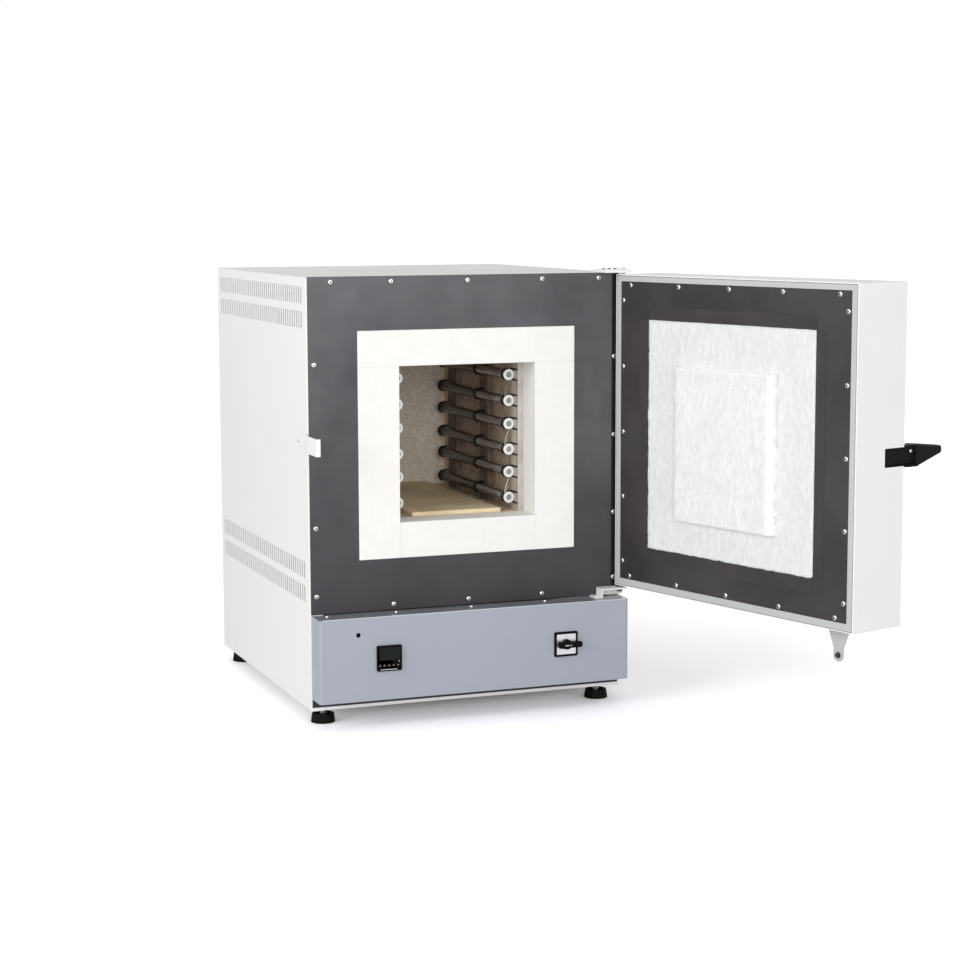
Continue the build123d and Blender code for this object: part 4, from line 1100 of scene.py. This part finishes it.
def door_block():
    """Fibre block with a wispy face, a ragged outline and a plug whose sides slope."""
    mesh = copy_of("door_block")
    turned = door_place.inverted()
    bmesh.ops.transform(mesh, matrix=turned, verts=mesh.verts)
    for axis, first, last in ((0, BLOCK_START, BLOCK_END), (2, BLOCK_BOTTOM, BLOCK_TOP)):
        normal = Vector((1, 0, 0)) if axis == 0 else Vector((0, 0, 1))
        count = int((last - first) / BLOCK_GRID)
        for index in range(1, count):
            front = [face for face in mesh.faces if max(vert.co.y for vert in face.verts) < 1 * MM]
            parts = set(front)
            for face in front:
                parts.update(face.edges)
                parts.update(face.verts)
            cut = normal * (first + (last - first) * index / count)
            bmesh.ops.bisect_plane(mesh, geom=list(parts), plane_co=cut, plane_no=normal, dist=0.00005)
    root = max(vert.co.y for vert in mesh.verts if vert.co.y < 0)
    plug_edges = (PLUG_START, PLUG_END, PLUG_BOTTOM, PLUG_TOP)
    for vert in mesh.verts:
        place = vert.co.copy()
        if place.y > 1 * MM:
            continue
        on_plug = root - place.y > 0.5 * MM
        near_plug = (
            PLUG_START - 0.1 * MM < place.x < PLUG_END + 0.1 * MM
            and PLUG_BOTTOM - 0.1 * MM < place.z < PLUG_TOP + 0.1 * MM
        )
        if near_plug and not on_plug:
            if abs(place.x - plug_edges[0]) < 0.1 * MM:
                vert.co.x -= PLUG_SLOPE
            if abs(place.x - plug_edges[1]) < 0.1 * MM:
                vert.co.x += PLUG_SLOPE
            if abs(place.z - plug_edges[2]) < 0.1 * MM:
                vert.co.z -= PLUG_SLOPE / 4
            if abs(place.z - plug_edges[3]) < 0.1 * MM:
                vert.co.z += PLUG_SLOPE / 4
        wisp = noise.noise(Vector((place.x * 150 + place.z * 30, place.z * 62, 3)))
        swell = noise.noise(Vector((place.x * 34, place.z * 22, 8)))
        vert.co.y += WISP_DEPTH * (0.5 + 0.5 * wisp) + SWELL_DEPTH * (0.5 + 0.5 * swell)
        rag = noise.noise(Vector((place.x * 90, place.z * 90, 1))) + noise.noise(place * 300)
        if place.x - BLOCK_START < 0.1 * MM:
            vert.co.x += RAG_DEPTH * rag
        if place.z - BLOCK_BOTTOM < 0.1 * MM:
            vert.co.z += RAG_DEPTH * rag
        if BLOCK_TOP - place.z < 0.1 * MM:
            vert.co.z += 0.4 * RAG_DEPTH * rag
    mesh.normal_update()
    # Painted light: the plug's face takes a lighter copy of the fibre, and its sides, top and bottom a
    # lighter one still, where they would read shaded.
    for face in mesh.faces:
        middle = face.calc_center_median()
        beside_plug = (
            PLUG_START - 12 * MM < middle.x < PLUG_END + 12 * MM
            and PLUG_BOTTOM - 6 * MM < middle.z < PLUG_TOP + 6 * MM
        )
        if beside_plug and middle.y < root - 6 * MM:
            face.material_index = 1
        if beside_plug and (face.normal.x > 0.5 or abs(face.normal.z) > 0.5):
            face.material_index = 2
    bmesh.ops.transform(mesh, matrix=door_place, verts=mesh.verts)
    bmesh.ops.triangulate(mesh, faces=mesh.faces)
    made = show("plug_block", mesh, block_fibre, "door", "fibre_white", "door_block", smooth=50)
    made.data.materials.append(plug_face_painted_light)
    made.data.materials.append(plug_edge_painted_light)


def frame_ring(mesh, outer, inner, proud):
    """A flat ring on the door between two rectangles, each (start, end, bottom, top)."""
    for start, end, bottom, top in (
        (outer[0], inner[0], outer[2], outer[3]),
        (inner[0], inner[1], outer[2], inner[2]),
        (inner[1], outer[1], outer[2], outer[3]),
        (inner[0], inner[1], inner[3], outer[3]),
    ):
        add_box(mesh, (start, -proud, bottom), (end, 0.3 * MM, top), door_place)


def door_frame_lines():
    """Dark joint line round the rim, where the door's two folds meet, and the grey rim inside it."""
    low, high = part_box("door_shell")
    outer, inner = (
        (inset, DOOR_WIDTH - inset, low.z + inset, high.z - inset) for inset in (2.2 * MM, 3.1 * MM)
    )
    mesh = bmesh.new()
    frame_ring(mesh, outer, inner, 0.06 * MM)
    show("door_seam", mesh, seam_and_shade_dark, "door", "casing_white")
    mesh = bmesh.new()
    frame_ring(mesh, inner, (14.5 * MM, 611 * MM, 247 * MM, 819 * MM), 0.04 * MM)
    show("door_rim_face", mesh, rim_grey_and_tray_shade, "door", "casing_white")


def door_casing():
    """The folded shell, the dark inner sheet and the strips that hold the fibre block."""
    reshape("door_shell", "door_sheet", white_coat, "door", "casing_white", 1.0 * MM, 3, longer(0.1))
    reshape("door_inner_panel", "door_plate", door_dark, "door", "plate_dark")
    mesh = bmesh.new()
    face = 1.2 * MM
    thick = 0.7 * MM
    gap = 0.4 * MM
    for start, end, bottom, top in (
        (BLOCK_START, BLOCK_END, BLOCK_TOP + gap, 774 * MM),
        (BLOCK_START, BLOCK_END, 288 * MM, BLOCK_BOTTOM - gap),
        (BLOCK_END + gap, 552 * MM, BLOCK_BOTTOM, BLOCK_TOP),
        (69.6 * MM, BLOCK_START - gap, BLOCK_BOTTOM, BLOCK_TOP),
    ):
        add_box(mesh, (start, face - thick, bottom), (end, face, top), door_place)
    round_edges(mesh, 0.25 * MM, 1)
    show("block_frame_strips", mesh, tab_dark, "door", "plate_dark")


def latch():
    """Black housing and the lever with its long tapered grip."""
    reshape(
        "latch_bracket", "latch_housing", black_plastic, "door", "black_plastic", 0.5 * MM, 2,
        longer(0.01),
    )
    reshape(
        "latch_lever", "latch_grip", grip_plastic, "latch", "black_plastic", 0.9 * MM, 3,
        longer(0.006), smooth=32, least_angle=30,
    )
    mesh = bmesh.new()
    seat = door_place @ Matrix.Translation((621.5 * MM, 141 * MM, 538 * MM))
    stamp(mesh, small_head, seat @ Matrix.Rotation(pi / 2, 4, "Y"))
    show("latch_screw", mesh, screw_steel, "latch", "screw_steel", smooth=38)
    dress(screw_steel, "latch_pin")


def door_bracket():
    """The bracket and pin that push the door switch."""
    reshape(
        "switch_bracket", "bracket_sheet", bracket_grey, "door", "casing_white", 0.4 * MM, 2,
        longer(0.01),
    )
    dress(dark_steel, "switch_pin")


# Hinges, strike, feet and back


def hinge_pieces():
    """White hinge plates, a white upper pin and a dark lower one with its hexagon foot."""
    low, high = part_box("hinge_pins")
    heights = [corner.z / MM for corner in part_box("hinge_bracket_top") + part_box("door_shell")]
    plate_low, plate_top, door_foot, door_top = heights
    upright = Matrix.Translation(pivot)
    for end, name in (("top", "hinge_plate_top"), ("bottom", "hinge_plate_low")):
        node = f"hinge_bracket_{end}"
        reshape(node, name, white_coat, "cabinet", "casing_white", 0.6 * MM, 2, longer(0.01))
    mesh = bmesh.new()
    top = high.z / MM
    upper = in_mm(
        (0, top), (5.5, top), (6.8, top - 1.0), (7, plate_top + 0.3), (3, plate_top + 0.3),
        (3, plate_low - 0.3), (7, plate_low - 0.3), (7, door_top), (3, door_top), (3, door_top - 20),
        (0, door_top - 20),
    )
    turn_profile(mesh, upper, place=upright)
    tidy_normals(mesh)
    show("upper_hinge_pin", mesh, pin_white, "door", "screw_steel", "hinge_pins", smooth=35)
    mesh = bmesh.new()
    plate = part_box("hinge_bracket_bottom")[1].z / MM
    foot = low.z / MM + 6
    lower = in_mm(
        (0, door_foot + 20), (3, door_foot + 20), (3, door_foot), (7, door_foot),
        (7, door_foot - 1.6), (6.2, door_foot - 1.7), (6.2, door_foot - 2.0), (7, door_foot - 2.1),
        (7, plate + 0.3), (3, plate + 0.3), (3, foot), (0, foot),
    )
    turn_profile(mesh, lower, place=upright)
    add_prism(mesh, 5.0 * MM, low.z, low.z + 6 * MM, place=upright)
    tidy_normals(mesh)
    show("lower_hinge_pin", mesh, dark_steel, "door", "screw_steel", smooth=35)


def strike():
    """The bent strip on the left side that the latch holds."""
    reshape(
        "strike", "strike_strip", white_coat, "cabinet", "casing_white", 0.6 * MM, 2, longer(0.005)
    )


def feet():
    """Black pads with a recessed top, and zinc studs with their threads."""
    pad = in_mm(
        (0, 0), (22.2, 0), (22.9, 0.8), (22.4, 5), (21, 15.8), (20.4, 16.8), (19.2, 17.2),
        (17.2, 16.8), (16.4, 15.8), (16, 13.4), (15.4, 13), (0, 13),
    )
    floor = 13
    pitch = 1.25
    for node in ("foot_front_left", "foot_front_right", "foot_back_left", "foot_back_right"):
        corner = node.removeprefix("foot_")
        low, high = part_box(node)
        centre = (low + high) / 2
        place = Matrix.Translation((centre.x, centre.y, 0))
        mesh = bmesh.new()
        turn_profile(mesh, pad, steps=48, place=place)
        tidy_normals(mesh)
        show(f"pad_{corner}", mesh, foot_rubber, node, "foot_black", node, smooth=40)
        mesh = bmesh.new()
        thread = [(0, floor), (3.6, floor)]
        count = int((high.z / MM - floor) / pitch)
        for turn in range(count):
            thread.append((4.0, floor + (turn + 0.5) * pitch))
            thread.append((3.6, floor + (turn + 1) * pitch))
        thread.append((0, floor + count * pitch))
        turn_profile(mesh, in_mm(*thread), steps=20, place=place)
        add_prism(mesh, 6.5 * MM, floor * MM, 18 * MM, place=place)
        tidy_normals(mesh)
        show(f"stud_{corner}", mesh, screw_steel, node, "screw_steel", smooth=50)


def back_pieces():
    """Cable gland with a ribbed dome nut, and the hidden electrical pieces."""
    low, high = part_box("cable_gland")
    centre = (low + high) / 2
    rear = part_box("rear_panel")[1].y
    out = Matrix.Translation((centre.x, rear, centre.z)) @ TO_BACK
    gland = in_mm(
        (4.5, 14), (6.4, 14), (8.6, 12.6), (9.6, 10), (9.6, 5.4), (8.8, 5), (8.8, 4.6), (10.4, 4.4),
        (10.4, 0), (8, 0), (8, -13.2), (4.5, -13.2), (4.5, 14),
    )
    mesh = bmesh.new()
    turn_profile(mesh, gland, steps=36, place=out)
    tidy_normals(mesh)
    for rib in range(12):
        turn = Matrix.Rotation(rib * pi / 6, 4, "Z")
        add_box(mesh, (9.2 * MM, -0.7 * MM, 5.6 * MM), (10.2 * MM, 0.7 * MM, 10.4 * MM), out @ turn)
    show("gland_body", mesh, black_plastic, "cabinet", "black_plastic", "cable_gland", smooth=32)
    mesh = bmesh.new()
    nut = in_mm((8.1, -1.3), (11, -1.3), (11, -5), (8.1, -5), (8.1, -1.3))
    turn_profile(mesh, nut, steps=6, place=out)
    tidy_normals(mesh)
    show("gland_nut", mesh, black_plastic, "cabinet", "black_plastic")
    # Painted shade: the chassis and inner casing, seen through the vents, are darkened for the shade
    # inside.
    dress(zinc_painted_shade, "chassis_frame")
    dress(seam_and_shade_dark, "inner_casing")
    dress(black_plastic, "power_relay", "switch_body", "door_switch_body", "door_switch_plunger")


# Room, light and camera


def room():
    """Pale floor and white world, both brighter to the camera than in the light that they give."""
    mesh = bmesh.new()
    bmesh.ops.create_grid(mesh, x_segments=1, y_segments=1, size=30)
    data = bpy.data.meshes.new("floor")
    mesh.to_mesh(data)
    mesh.free()
    floor = add_object("floor", data)
    paint, shader, tree = new_material("floor_pale", shine=0.0)
    shader.inputs["Roughness"].default_value = 0.7
    direct = tree.nodes.new("ShaderNodeLightPath")
    away = add_node(tree, "ShaderNodeVectorMath", object_place(tree), operation="LENGTH")
    # Painted shade: near the furnace the floor is brightened less to the camera than far away, so it
    # reads darker round the furnace.
    reach = spread(tree, away.outputs["Value"], FLOOR_FADE_START, FLOOR_FADE_END)
    seen_tone = blend_colours(tree, reach, FLOOR_NEAR, FLOOR_FAR)
    tone = blend_colours(tree, direct.outputs["Is Camera Ray"], FLOOR_LIT, seen_tone)
    tree.links.new(tone, shader.inputs["Base Color"])
    data.materials.append(paint)
    world = bpy.data.worlds.new("studio")
    bpy.context.scene.world = world
    world.use_nodes = True
    tree = world.node_tree
    tree.nodes.remove(tree.nodes["Background"])
    light, seen = (
        add_node(tree, "ShaderNodeBackground", Color=rgb(1, 1, 1), Strength=strength)
        for strength in (WORLD_LIGHT, 1.0)
    )
    ray = tree.nodes.new("ShaderNodeLightPath").outputs
    glossy = calculate(tree, "MAXIMUM", ray["Is Camera Ray"], ray["Is Glossy Ray"])
    through = calculate(tree, "MAXIMUM", glossy, ray["Is Transmission Ray"])
    pick = add_node(tree, "ShaderNodeMixShader", through, light.outputs[0], seen.outputs[0])
    tree.links.new(pick.outputs["Shader"], tree.nodes["World Output"].inputs["Surface"])


def lamp(name, place, target, size, power):
    """A square soft lamp that faces a point."""
    data = bpy.data.lights.new(name, "AREA")
    data.shape = "SQUARE"
    data.size = size
    data.energy = power
    made = add_object(name, data)
    away = Vector(place) - Vector(target)
    made.matrix_world = Matrix.Translation(place) @ away.to_track_quat("Z", "Y").to_matrix().to_4x4()


def camera():
    """The photograph's viewpoint, found from the furnace's straight edges."""
    data = bpy.data.cameras.new("camera")
    data.sensor_width = 36
    data.lens = 36 * FOCAL_PIXELS / PICTURE_PIXELS
    data.shift_x = (PICTURE_PIXELS / 2 - AXIS_PIXEL_X) / PICTURE_PIXELS
    data.shift_y = (AXIS_PIXEL_Y - PICTURE_PIXELS / 2) / PICTURE_PIXELS
    data.clip_end = 60
    turn, dip, roll = radians(CAMERA_TURN), radians(CAMERA_DIP), radians(CAMERA_ROLL)
    forward = Vector((sin(turn) * cos(dip), cos(turn) * cos(dip), -sin(dip)))
    level = Vector((cos(turn), -sin(turn), 0))
    upward = level.cross(forward)
    right = cos(roll) * level + sin(roll) * upward
    up = -sin(roll) * level + cos(roll) * upward
    made = add_object("camera", data)
    axes = Matrix((right, up, -forward)).transposed().to_4x4()
    made.matrix_world = Matrix.Translation(CAMERA_PLACE) @ axes
    bpy.context.scene.camera = made


PICTURE_PIXELS = 960
FOCAL_PIXELS = 2155.0
AXIS_PIXEL_X = 482.61
AXIS_PIXEL_Y = 481.18
CAMERA_PLACE = Vector((-1.4054, -3.7806, 0.9636))
CAMERA_TURN = 20.774
CAMERA_DIP = 7.304
CAMERA_ROLL = -0.169
WORLD_LIGHT = 0.55
# Each lamp's name, place, target, size and power
LAMPS = (
    ("left_lamp", (-4.0, -1.6, 1.9), (0, 0, 0.45), 2.5, 90),
    ("right_lamp", (1.1, -4.5, 0.85), (0, 0, 0.55), 1.2, 24),
    ("front_lamp", (-1.25, -4.6, 1.3), (0, 0, 0.5), 1.6, 60),
)
FLOOR_LIT = (0.88, 0.88, 0.89, 1.0)
FLOOR_FADE_START = 0.55
FLOOR_FADE_END = 1.5
FLOOR_NEAR = (1.42, 1.42, 1.45, 1.0)
FLOOR_FAR = (2.1, 2.1, 2.1, 1.0)

screws_of_sheets()
screws_of_casing()
casing()
front()
control_box()
tray_painted_shadow()
controller()
main_switch()
heater_tubes()
tube_wires()
tube_ends()
chamber()
door_block()
door_frame_lines()
door_casing()
latch()
door_bracket()
hinge_pieces()
strike()
feet()
back_pieces()
room()
for values in LAMPS:
    lamp(*values)
camera()
bpy.context.scene.view_settings.view_transform = "Standard"
